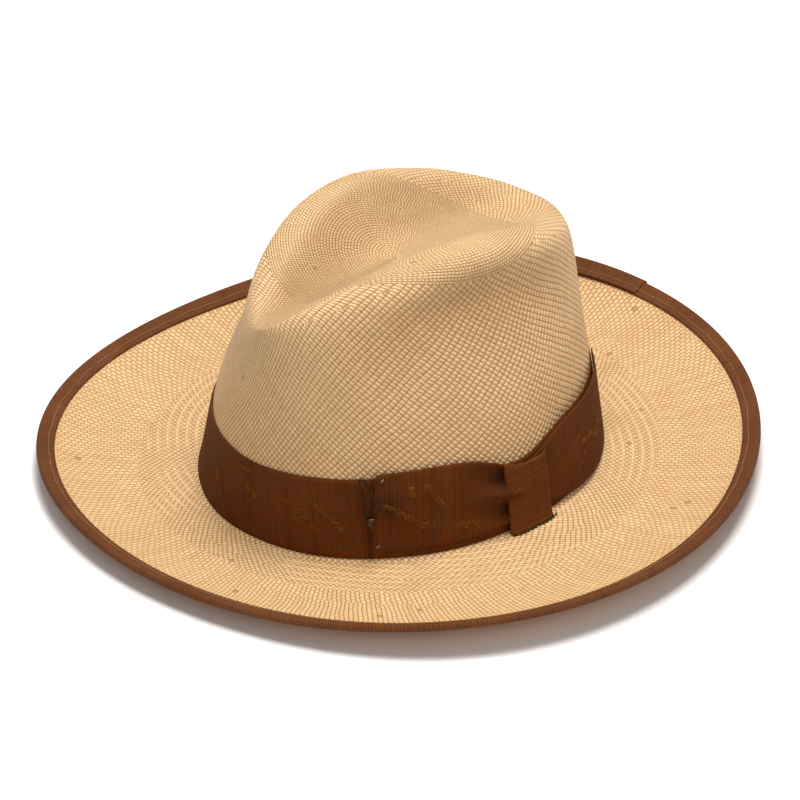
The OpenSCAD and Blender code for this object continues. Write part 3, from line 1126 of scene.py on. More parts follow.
@dataclass(frozen=True)
class StrawBody:
    """The one-piece woven skin, crown and brim, inside and out."""

    around: int = 480
    waver: float = 0.22 * MM
    pole_r: float = 0.01 * MM

    def stations(self) -> tuple[Array, Array]:
        """The face's own u of the rows, outside from dent to edge and inside back again.

        Returns:
            The outside and the inside rows.
        """
        top = np.linspace(0.03, 1.0, 34)[:-1]
        side = 1.0 + np.linspace(0.0, 1.0, 52) ** 1.6 * 0.95
        foot = np.linspace(1.955, 2.0, 9)
        brim = np.concatenate([np.linspace(2.02, 2.9, 30), np.linspace(2.915, 3.0, 8)])
        outside = np.concatenate([top, side, foot, brim])
        return outside, outside[::-2]

    def skin(self) -> Array:
        """Rows of points: the face with a slow waver, then the face less the straw's thickness.

        Returns:
            Points, shaped (rows, around, 3).
        """
        a = TURN * np.arange(self.around)[None, :] / self.around
        outside, inside = self.stations()
        rows = []
        for u, depth in ((outside, 0.0), (inside, FORM.straw_t)):
            uu = u[:, None]
            wave = np.sin(5.0 * a + 7.0 * uu) * np.sin(11.0 * uu + 3.0 * a)
            wave = wave + 0.6 * np.sin(13.0 * a - 9.0 * uu)
            calm = smooth(uu, 0.1, 0.4) * smooth(uu, 2.93, 2.75) * (1.0 - bell(uu, 1.93, 0.22))
            rows.append(FORM.face(a, uu) + (self.waver * wave * calm - depth)[..., None] * FORM.normal(a, uu))
        return np.concatenate(rows)

    def handled(self, points: Array, u: Array) -> Array:
        """How far the straw is darkened: on the far slope of the dent, and as painted shade in the pinch
        hollows under the ridge.

        Args:
            points: Points, by row.
            u: The rows' own u.

        Returns:
            Shares from 0 to 1.
        """
        a = TURN * np.arange(self.around)[None, :] / self.around
        uu = u[:, None]
        x = points[..., 0]
        slope = smooth(uu, 0.10, 0.45) * smooth(uu, 1.0, 0.80) * smooth(x, 0.0, -0.022)
        # Painted shade: the pinch hollow below the ridge, where the ridge would shade it from overhead light.
        hollow = FORM.pinch(a, np.clip(2.0 - uu, 0.0, 1.0)) / FORM.pinch_depth
        hollow = hollow * smooth(uu, 0.98, 1.02) * smooth(uu, 1.9, 1.6)
        return np.clip(0.85 * slope + 1.25 * hollow, 0.0, 1.0)

    def build(self, looks: Finishes) -> None:
        """Builds and dresses the straw. Each end is closed by a ring at the pole itself.

        Args:
            looks: The hat's finishes.
        """
        skin = self.skin()
        outside, inside = self.stations()
        u = np.concatenate([[0.0], outside, inside, [0.0]])
        pole = np.broadcast_to(FORM.dent, (1, self.around, 3))
        a = TURN * np.arange(self.around) / self.around
        pole = pole + self.pole_r * np.stack([np.cos(a), np.sin(a), 0.0 * a], -1)
        points = np.concatenate([pole, skin, pole - [0.0, 0.0, FORM.straw_t]])
        leap = np.linalg.norm(np.diff(points, axis=0), axis=-1)
        half = len(outside) + 1
        run = np.concatenate([np.zeros((1, self.around)), np.cumsum(leap[: half - 1], 0)])
        back = run[-1:] - np.concatenate([np.zeros((1, self.around)), np.cumsum(leap[half:], 0)])
        run = np.concatenate([run, back])
        girth = np.linalg.norm(np.roll(points, -1, 1) - points, axis=-1).sum(1)
        share = np.arange(self.around + 1) / self.around
        run_loop = np.concatenate([run, run[:, :1]], 1)
        maps = {
            "wrap": grid_map(share[None, :], run_loop / DM),
            "zone": grid_map(girth[:, None] + 0.0 * run_loop, u[:, None] / 3.0 + 0.0 * run_loop),
        }
        values = {"handled": self.handled(points, u)}
        patch = Patch(points, wrap_cols=True, turned=True, cap_rows=True, uvs=maps, values=values)
        piece = build_mesh("woven_straw", [patch])
        place(piece, looks.straw, "straw", "straw_tip", "straw_side", "straw_brim")


# ---------------------------------------------------------------------------
# Ribbons
# ---------------------------------------------------------------------------


Offset = Callable[[Array, Array], Array]


def ribbon_patch(angles: Array, lo: Offset, hi: Offset, off: Offset, thick: float, steps: int,
                 closed: bool, worn: Offset | None = None, stain: Offset | None = None,
                 flared: float = 1.0, lean: Array | None = None) -> Patch:
    """A flat ribbon that follows the crown's side.

    Args:
        angles: Stations round the hat.
        lo: Lower edge's height above the foot, of the angle.
        hi: Upper edge's height above the foot.
        off: Stand-off from the side, of the angle and the share across.
        thick: The ribbon's thickness.
        steps: Points across each face.
        closed: True when the ribbon meets itself.
        worn: Wear from 0 to 1, of the angle and the height.
        stain: Darkening from 0 to 1, of the angle and the height: a real stain, and painted shade at folds
            and ends.
        flared: 1 to follow the flare at the foot.
        lean: Angle by which the upper edge is behind the middle, and the lower edge ahead of it.

    Returns:
        The patch, its section running up the inner face and down the outer one.
    """
    s = np.linspace(0.0, 1.0, steps)[None, :]
    a = angles[:, None]
    z = lo(a, s) + (hi(a, s) - lo(a, s)) * s
    d = off(a, s)
    lip = 1.0 - 0.55 * (np.abs(2.0 * s - 1.0) ** 24)
    if lean is not None:
        a = a + lean[:, None] * (2.0 * s - 1.0)
    inner, outer = FORM.wall(a, z, d, flared), FORM.wall(a, z, d + thick * lip, flared)
    points = np.concatenate([inner, outer[:, ::-1]], 1)
    z2 = np.concatenate([z, z[:, ::-1]], 1)
    mid = outer[:, steps // 2]
    ends = np.roll(mid, -1, 0) if closed else np.concatenate([mid[1:], mid[-1:]])
    step_len = np.linalg.norm(ends - mid, axis=-1)
    along = np.concatenate([[0.0], np.cumsum(step_len)])
    along = along if closed else along[:-1]
    rows = len(angles) + closed
    z_loop = np.concatenate([z2, z2[:1]], 0) if closed else z2
    z_loop = np.concatenate([z_loop, z_loop[:, :1]], 1)
    uv = grid_map(along[:rows, None] / DM, z_loop / DM)
    a2 = np.broadcast_to(a, z.shape)
    a2 = np.concatenate([a2, a2[:, ::-1]], 1)
    values = {key: f(a2, z2) if f else np.zeros_like(z2) for key, f in (("worn", worn), ("stain", stain))}
    return Patch(points, wrap_rows=closed, wrap_cols=True, cap_rows=not closed, turned=True,
                 uvs={"cloth": uv}, values=values)


@dataclass(frozen=True)
class Snag:
    """A ragged worn line on the ribbon, from one angle and height (degrees, millimetres) to another."""

    start: tuple[float, float]
    end: tuple[float, float]
    width: float = 1.3
    depth: float = 1.0

    def points(self, share: Array) -> tuple[Array, Array]:
        """Angles in radians and heights in metres at shares of the way.

        Args:
            share: Shares of the way along the line.

        Returns:
            Angles and heights.
        """
        a = self.start[0] + (self.end[0] - self.start[0]) * share
        z = self.start[1] + (self.end[1] - self.start[1]) * share
        return np.radians(a), z * MM

    def wear(self, a: Array, z: Array) -> Array:
        """Wear from this line: a bell of the distance to it along the ribbon's face.

        Args:
            a: Angles in radians.
            z: Heights above the foot.

        Returns:
            Shares from 0 to 1.
        """
        girth = 0.092
        (a0, a1), (z0, z1) = self.points(np.array([0.0, 1.0]))
        run = np.array([(a1 - a0) * girth, z1 - z0])
        dx, dz = (a - a0) * girth, z - z0
        share = np.clip((dx * run[0] + dz * run[1]) / np.dot(run, run), 0.0, 1.0)
        gap = np.hypot(dx - share * run[0], dz - share * run[1])
        return self.depth * bell(gap, 0.0, self.width * MM)


@dataclass(frozen=True)
class HatBand:
    """The ribbon round the crown with its flat bow on the wearer's left."""

    ribbon_t: float = 0.7 * MM
    gap: float = 0.2 * MM
    band_w: float = 36.0 * MM
    foot: float = 1.2 * MM
    leaf_front: float = math.radians(-54.7)
    leaf_lean: float = math.radians(2.1)
    knot_front: float = math.radians(-16.5)
    knot_back: float = math.radians(-2.2)
    knot_lean: float = math.radians(0.7)
    dip: float = 7.0 * MM
    tail_back: float = math.radians(46.0)
    side_r: float = 95.0 * MM
    snags: tuple[Snag, ...] = (
        Snag((-114.0, 22.0), (-108.0, 8.0), 1.8, 0.9),
        Snag((-104.0, 33.5), (-93.0, 35.0), 1.2, 0.6),
        Snag((-97.0, 27.0), (-93.0, 23.0), 1.2, 0.7),
        Snag((-82.0, 27.0), (-74.0, 19.0), 1.5, 0.7),
        Snag((-78.0, 20.0), (-71.0, 14.0), 1.4, 0.6),
        Snag((-72.0, 28.5), (-63.0, 14.0), 1.6, 0.8),
        Snag((-50.0, 26.5), (-41.0, 16.0), 1.7, 1.0),
        Snag((-41.0, 15.5), (-26.0, 11.0), 1.6, 1.0),
        Snag((-42.5, 33.0), (-42.0, 28.0), 1.2, 0.8),
        Snag((-38.0, 33.0), (-34.0, 21.0), 1.5, 1.0),
        Snag((28.0, 24.0), (23.0, 17.0), 1.8, 0.9),
        Snag((21.0, 21.0), (15.0, 21.0), 1.3, 0.7),
        Snag((15.0, 16.0), (11.0, 11.5), 1.0, 0.5),
    )

    @property
    def layer(self) -> float:
        """One ribbon with the clearance under it."""
        return self.ribbon_t + self.gap

    @property
    def knot_mid(self) -> float:
        """The middle angle of the knot."""
        return (self.knot_front + self.knot_back) / 2.0

    def top(self, a: Array) -> Array:
        """Height of the band's upper edge: a little higher at the front, drawn down at the knot."""
        dip = self.dip * bell(a, self.knot_mid, math.radians(13.0))
        return self.band_w + self.foot - 2.0 * MM * np.sin(a) - dip

    def gather(self, a: Array) -> Array:
        """Share of a leaf's width that is drawn in beside the knot."""
        return bell(a, self.knot_mid, math.radians(12.0))

    def worn(self, a: Array, z: Array) -> Array:
        """Wear over the ribbon: the snags' bells, added."""
        return np.clip(sum(s.wear(a, z) for s in self.snags), 0.0, 1.0)

    def stain(self, a: Array, z: Array) -> Array:
        """A real dark stain near the leaf's front end, with painted shade in a line at that end and in the
        tucks at the knot.

        Args:
            a: Angles round the hat.
            z: Heights above the foot.

        Returns:
            Shares from 0 to 1.
        """
        rise = z / self.band_w - 0.5
        patch = 0.75 * bell(a, math.radians(-49.5), math.radians(3.0)) * bell(z, 26.0 * MM, 6.5 * MM)
        # Painted shade: a dark line at the leaf's raised end, and darkening in the folds beside the knot.
        end = 0.9 * bell(a, self.leaf_front + 2.0 * rise * self.leaf_lean, math.radians(0.45))
        tuck_shade = 0.4 * bell(a, self.knot_front, math.radians(1.8))
        for share, ahead, reach, height in ((0.75, 1.0, 4.0, 27.0), (0.6, 0.5, 3.2, 12.0)):
            beside = bell(a, self.knot_front - math.radians(ahead), math.radians(reach))
            tuck_shade = tuck_shade + share * beside * bell(z, height * MM, 4.5 * MM)
        return np.clip(patch + end + tuck_shade, 0.0, 1.0)

    def leaf_off(self, a: Array, s: Array) -> Array:
        """Stand-off of the front leaf: flat, then a ridge between two hollows at the knot.

        Args:
            a: Angles round the hat.
            s: Shares of the way up the ribbon.

        Returns:
            Stand-off in metres.
        """
        g = self.gather(a)
        near = bell(a, self.knot_front + math.radians(1.0), math.radians(8.0))
        fold = 2.4 * bell(s, 0.52, 0.10) - 3.0 * bell(s, 0.79, 0.14) - 2.3 * bell(s, 0.24, 0.12)
        cup = 0.6 * bell(s, 0.98, 0.06)
        wave = 0.15 * np.sin(14.0 * a + 2.0 * s) * (1.0 - g)
        end = 1.0 * bell(a, self.leaf_front, math.radians(2.0))
        raised = 0.25 + 2.4 * g + near * (fold + cup) + wave + end
        return self.layer + self.gap + np.maximum(raised, 0.05) * MM

    def tail_off(self, a: Array, s: Array) -> Array:
        """Stand-off of the back leaf: it swells off the band, with a slant crease rising from the knot.

        Args:
            a: Angles round the hat.
            s: Shares of the way up the ribbon.

        Returns:
            Stand-off in metres.
        """
        g = self.gather(a)
        way = (a - self.knot_mid) / (self.tail_back - self.knot_mid)
        swell = 3.0 * np.sin(np.pi * np.clip(way, 0.0, 1.0)) * (1.0 - g)
        crease = -1.1 * bell(s - (0.30 + 0.9 * way), 0.0, 0.10) * np.sin(np.pi * np.clip(way * 1.3, 0.0, 1.0))
        drawn = 1.2 * g + 0.8 * g * bell(s, 0.5, 0.2)
        return self.layer + self.gap + (drawn + swell + 0.8 * crease * (1.0 - g)) * MM

    def stand_off(self, a: Array, z: Array) -> Array:
        """Stand-off of the topmost ribbon's outer face at angles a and heights z.

        Args:
            a: Angles round the hat.
            z: Heights above the foot.

        Returns:
            Stand-off in metres.
        """
        s = np.clip((z - 3.0 * MM) / (36.0 * MM), 0.0, 1.0)
        front = (a > self.leaf_front) & (a < self.knot_mid)
        rear = (a >= self.knot_mid) & (a < self.tail_back)
        under = np.where(front, self.leaf_off(a, s), np.where(rear, self.tail_off(a, s), self.gap + 0.1 * MM))
        return under + self.ribbon_t

    def build_band(self, looks: Finishes) -> None:
        """The plain ribbon that goes all the way round.

        Args:
            looks: The hat's finishes.
        """
        a = TURN * np.arange(720) / 720 - math.pi
        ripple = lambda a, s: self.gap + 0.12 * MM * (1.0 + np.sin(9.0 * a + 4.0 * s)) + 0.0 * s
        patch = ribbon_patch(a, lambda a, s: self.foot + 0.0 * a, lambda a, s: self.top(a), ripple,
                             self.ribbon_t, 22, True, self.worn, self.stain)
        piece = place(build_mesh("hat_band_ribbon", [patch]), looks.ribbon, "ribbon", "hat_band")

    def build_leaf(self, looks: Finishes) -> None:
        """The front leaf, narrowing into the knot, with its top corner turned back.

        Args:
            looks: The hat's finishes.
        """
        a = np.linspace(self.leaf_front, self.knot_mid - math.radians(2.0), 240)
        low = lambda a, s: self.foot + (3.2 + 2.2 * self.gather(a)) * MM
        corner = lambda a: 2.4 * bell(a, self.leaf_front, math.radians(0.9))
        high = lambda a, s: self.top(a) + (2.5 - 2.2 * self.gather(a) - corner(a)) * MM
        patch = ribbon_patch(a, low, high, self.leaf_off, self.ribbon_t, 48, False, self.worn, self.stain,
                             lean=self.leaf_lean * (1.0 - self.gather(a)))
        piece = place(build_mesh("bow_front_leaf", [patch]), looks.ribbon, "ribbon", "bow_leaf")

    def build_tail(self, looks: Finishes) -> None:
        """The back leaf, from under the knot to its plain end.

        Args:
            looks: The hat's finishes.
        """
        a = np.linspace(self.knot_mid + math.radians(1.0), self.tail_back, 240)
        low = lambda a, s: self.foot + (1.0 + 5.0 * self.gather(a)) * MM
        way = lambda a: (a - self.knot_mid) / (self.tail_back - self.knot_mid)
        high = lambda a, s: self.top(a) + (1.5 + 1.5 * way(a) - 3.2 * self.gather(a)) * MM
        patch = ribbon_patch(a, low, high, self.tail_off, self.ribbon_t, 48, False, self.worn)
        piece = place(build_mesh("bow_back_leaf", [patch]), looks.ribbon, "ribbon", "bow_tail")

    def knot_off(self, a: Array) -> Array:
        """Stand-off of the knot: an arch over both leaves, with the lapped end of the ribbon on its face.

        Args:
            a: Angles round the hat.

        Returns:
            Stand-off in metres.
        """
        way = (a - self.knot_front) / (self.knot_back - self.knot_front)
        arch = np.clip(1.0 - np.abs(2.0 * way - 1.0) ** 7, 0.0, 1.0) ** 0.5
        lap = 0.4 * smooth(way, 0.58, 0.60) - 0.3 * bell(way, 0.585, 0.02)
        return 2.0 * self.layer + (0.7 + 1.9 * arch + lap) * MM

    def build_knot(self, looks: Finishes) -> None:
        """The knot: a band wrapped over both leaves, its two sides turned down to them.

        Args:
            looks: The hat's finishes.
        """
        a = np.linspace(self.knot_front, self.knot_back, 90)
        off = lambda a, s: self.knot_off(a) + 0.4 * MM * np.sin(np.pi * s)
        way = lambda a: (a - self.knot_front) / (self.knot_back - self.knot_front)
        low = lambda a, s: self.foot - 0.6 * MM + 0.0 * a
        high = lambda a, s: self.top(a) + (1.0 - 1.5 * way(a)) * MM
        patch = ribbon_patch(a, low, high, off, self.ribbon_t, 48, False, lean=self.knot_lean + 0.0 * a)
        patch.uvs["cloth"] = patch.uvs["cloth"][..., ::-1]
        piece = place(build_mesh("bow_knot_wrap", [patch]), looks.knot, "knot_ribbon", "bow_knot")

    def stitch(self, a: Array, z: Array, d: Array | float, run: float, rise: float, reach: float,
               thick: float) -> list[Patch]:
        """Short arched stitches, each lifted as 1 - (2t)^2 along its run.

        Args:
            a: The stitches' angles.
            z: Their heights above the foot.
            d: Their stand-off from the crown's side.
            run: Length round the hat.
            rise: Length up the hat.
            reach: Height of the arch.
            thick: The thread's radius.

        Returns:
            One patch for each stitch.
        """
        t = np.linspace(-0.5, 0.5, 9)[None, :]
        arch = (1.0 - (2.0 * t) ** 2) * reach
        lifted = np.broadcast_to(d, a.shape)[:, None] + arch
        paths = FORM.wall(a[:, None] + run * t / self.side_r, z[:, None] + rise * t, lifted)
        radii = thick * np.sqrt(np.maximum(1.0 - (2.05 * t) ** 8, 0.15)) + 0.0 * a[:, None]
        lift = unit(FORM.wall(a, z, np.full_like(a, 0.01)) - FORM.wall(a, z, np.zeros_like(a)))
        return tube_patches(paths, radii, 8, lift)

    def build_stitches(self, looks: Finishes) -> None:
        """The leaf's two tack stitches, and a row of near-black stitches under the knot, put there as painted
        shadow below its lower edge.

        Args:
            looks: The hat's finishes.
        """
        lean = self.leaf_front + math.radians(2.5)
        low, high = lean - self.leaf_lean, lean + self.leaf_lean
        corners = np.array([low, low + 0.01, high, high + 0.008])
        heights = np.array([7.5, 7.9, 38.3, 38.7]) * MM
        tacks = self.stitch(corners, heights, 2.0 * self.layer + 0.5 * MM,
                            0.9 * MM, 1.4 * MM, 0.35 * MM, 0.24 * MM)
        place(build_mesh("leaf_tacks", tacks), looks.thread, "thread", "bow_tack_stitches")
        # Painted shadow: these near-black stitches stand in for the toothed shadow under the knot's lower
        # edge.
        k = np.arange(12)
        a = self.knot_front + math.radians(0.2) + k * math.radians(1.26)
        row = self.stitch(a, np.full(12, 0.9 * MM), self.knot_off(a) + self.ribbon_t - 0.05 * MM,
                          1.5 * MM, 0.3 * MM, 0.35 * MM, 0.33 * MM)
        place(build_mesh("knot_shadow_stitches", row), looks.dark_thread, "dark_thread", "band_tack_stitches")

    def build_frays(self, looks: Finishes) -> None:
        """Loose golden threads that stand up from the worn places, most of them running up the ribbon.

        Args:
            looks: The hat's finishes.
        """
        rng = np.random.default_rng(7)
        patches: list[Patch] = []
        for s in self.snags:
            count = int(95 * s.depth)
            clumps = rng.uniform(0.0, 1.0, 5)
            way = clumps[rng.integers(0, 5, count)] + rng.normal(0.0, 0.09, count)
            a, z = s.points(np.clip(way, 0.0, 1.0))
            a = a + rng.normal(0.0, 0.45, count) * s.width * MM / 0.092
            z = np.clip(z + rng.normal(0.0, 0.45, count) * s.width * MM, 3.0 * MM, self.band_w - 0.5 * MM)
            base = self.stand_off(a, z)
            reach = rng.uniform(0.5, 1.9, count) * MM
            heading = rng.normal(math.pi / 2.0, 0.7, count)
            t = np.linspace(0.0, 1.0, 7)[None, :]
            bend = rng.normal(0.0, 0.5, count)[:, None] * np.sin(np.pi * t) * reach[:, None]
            along = reach[:, None] * (t - 0.5) * np.cos(heading)[:, None] + bend * np.sin(heading)[:, None]
            rise = reach[:, None] * (t - 0.5) * np.sin(heading)[:, None] - bend * np.cos(heading)[:, None]
            curl = rng.uniform(0.05, 0.85, count)[:, None] * MM * np.sin(np.pi * t)
            paths = FORM.wall(a[:, None] + along / 0.092, z[:, None] + rise, base[:, None] + curl)
            radii = rng.uniform(0.08, 0.18, count)[:, None] * MM * (1.0 - 0.5 * t)
            lift = unit(FORM.wall(a, z, np.full(count, 0.01)) - FORM.wall(a, z, np.zeros(count)))
            patches += tube_patches(paths, radii, 5, lift)
        piece = build_mesh("ribbon_frays", patches)
        piece.data.materials.append(looks.gold_thread)
        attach(piece, Body.HAT.value)
        LOG.info("%s: %d faces", piece.name, len(piece.data.polygons))

    def build(self, looks: Finishes) -> None:
        """Builds the band and its bow.

        Args:
            looks: The hat's finishes.
        """
        self.build_band(looks)
        self.build_leaf(looks)
        self.build_tail(looks)
        self.build_knot(looks)
        self.build_stitches(looks)
        self.build_frays(looks)


@dataclass(frozen=True)
class BrimBinding:
    """Ribbon folded over the brim's edge, lapped at the back and sewn with one line of thread."""

    width: float = 6.8 * MM
    ribbon_t: float = 0.7 * MM
    gap: float = 0.2 * MM
    lap_from: float = math.radians(86.0)
    lap_to: float = math.radians(104.0)

    def brim_w(self, a: Array) -> Array:
        """Width of the brim in plan at an angle."""
        return np.linalg.norm((FORM.edge(a) - FORM.side(a, np.zeros_like(a)))[..., :2], axis=-1)

    def section(self, a: Array, width: float, inner: float, thick: float) -> Array:
        """The folded section: out along the top, round the edge as a half circle, back underneath.

        Each station holds the outer face first and then the inner face back again.

        Args:
            a: Angles round the hat.
            width: Reach of the fold on each face.
            inner: Clearance from the straw.
            thick: The cloth's thickness.

        Returns:
            Points, shaped (angles, section, 3).
        """
        a = a[:, None]
        w = self.brim_w(a)
        s = np.linspace(0.0, 1.0, 8)[None, :]
        u = 3.0 - width * (1.0 - s) / w
        top = FORM.face(a, u)
        n = FORM.normal(a, np.minimum(u, 2.99))
        edge_n = FORM.normal(a, np.array([[2.99]]))
        out = unit(FORM.face(a, np.array([[3.0]])) - FORM.face(a, np.array([[2.96]])))
        mid = FORM.face(a, np.array([[3.0]])) - edge_n * FORM.straw_t / 2.0
        w_turn = np.linspace(0.0, np.pi, 9)[None, 1:-1, None]

        def sheath(extra: float) -> Array:
            """The fold at a clearance from the straw: top, half circle and underside.

            Args:
                extra: Clearance from the straw.

            Returns:
                Points of the section.
            """
            r = FORM.straw_t / 2.0 + extra
            turn = mid + edge_n * r * np.cos(w_turn) + out * (extra + 0.12 * MM) * np.sin(w_turn)
            underside = top[:, ::-1] - n[:, ::-1] * (FORM.straw_t + extra)
            return np.concatenate([top + n * extra, turn, underside], 1)

        return np.concatenate([sheath(inner + thick), sheath(inner)[:, ::-1]], 1)

    def patch(self, a: Array, closed: bool, width: float, inner: float, thick: float) -> Patch:
        """The folded ribbon over a run of angles, with its cloth map.

        Args:
            a: Angles round the hat.
            closed: True when it meets itself.
            width: Reach of the fold on each face.
            inner: Clearance from the straw.
            thick: The cloth's thickness.

        Returns:
            The patch.
        """
        points = self.section(a, width, inner, thick)
        ring = np.concatenate([points, points[:, :1]], 1)
        across = run_of(ring, 1)
        mid = points[:, 10]
        nxt = np.roll(mid, -1, 0) if closed else np.concatenate([mid[1:], mid[-1:]])
        along = np.concatenate([[0.0], np.cumsum(np.linalg.norm(nxt - mid, axis=-1))])
        if closed:
            across = np.concatenate([across, across[:1]], 0)
        else:
            along = along[:-1]
        uv = grid_map(along[:, None] / DM, across / DM)
        return Patch(points, wrap_rows=closed, wrap_cols=True, cap_rows=not closed, uvs={"cloth": uv},
                     values={"worn": np.zeros(points.shape[:2])})

    def build(self, looks: Finishes) -> None:
        """Builds the binding, its lap and its line of stitches.

        Args:
            looks: The hat's finishes.
        """
        ring = self.patch(TURN * np.arange(900) / 900, True, self.width, self.gap, self.ribbon_t)
        piece = place(build_mesh("brim_binding_ribbon", [ring]), looks.binding, "ribbon", "brim_binding")
        a = np.linspace(self.lap_from, self.lap_to, 60)
        lap = self.patch(a, False, self.width - 0.3 * MM, 2.0 * self.gap + self.ribbon_t, self.ribbon_t)
        piece = place(build_mesh("binding_lap_end", [lap]), looks.binding, "ribbon", "binding_lap")
        self.build_stitches(looks)

    def build_stitches(self, looks: Finishes) -> None:
        """A running line of small stitches, each a shallow arch over the tape.

        Args:
            looks: The hat's finishes.
        """
        count = 420
        start = TURN * np.arange(count) / count
        t = np.linspace(0.0, 1.0, 8)
        a = start[:, None] + (TURN / count) * 0.86 * t[None, :]
        lapped = smooth(a, self.lap_from - 0.02, self.lap_from) * smooth(a, self.lap_to + 0.02, self.lap_to)
        arch = 0.22 * MM * np.sin(np.pi * t)[None, :]
        lift = self.gap + self.ribbon_t + (self.gap + self.ribbon_t) * lapped + arch + 0.02 * MM
        sway = 0.18 * MM * np.sin(31.0 * a) + 0.12 * MM * np.sin(73.0 * a)
        flat = a.ravel()
        u = 3.0 - (self.width * 0.58 + sway.ravel()) / self.brim_w(flat)
        n = FORM.normal(flat, u)
        paths = (FORM.face(flat, u) + n * lift.ravel()[:, None]).reshape(count, 8, 3)
        radii = np.broadcast_to(0.19 * MM * (1.0 - 0.5 * np.abs(2.0 * t - 1.0) ** 6), (count, 8))
        patches = tube_patches(paths, radii, 6, n.reshape(count, 8, 3)[:, 4])
        place(build_mesh("binding_thread", patches), looks.thread, "thread", "binding_stitches")


# ---------------------------------------------------------------------------
# Inside
# ---------------------------------------------------------------------------


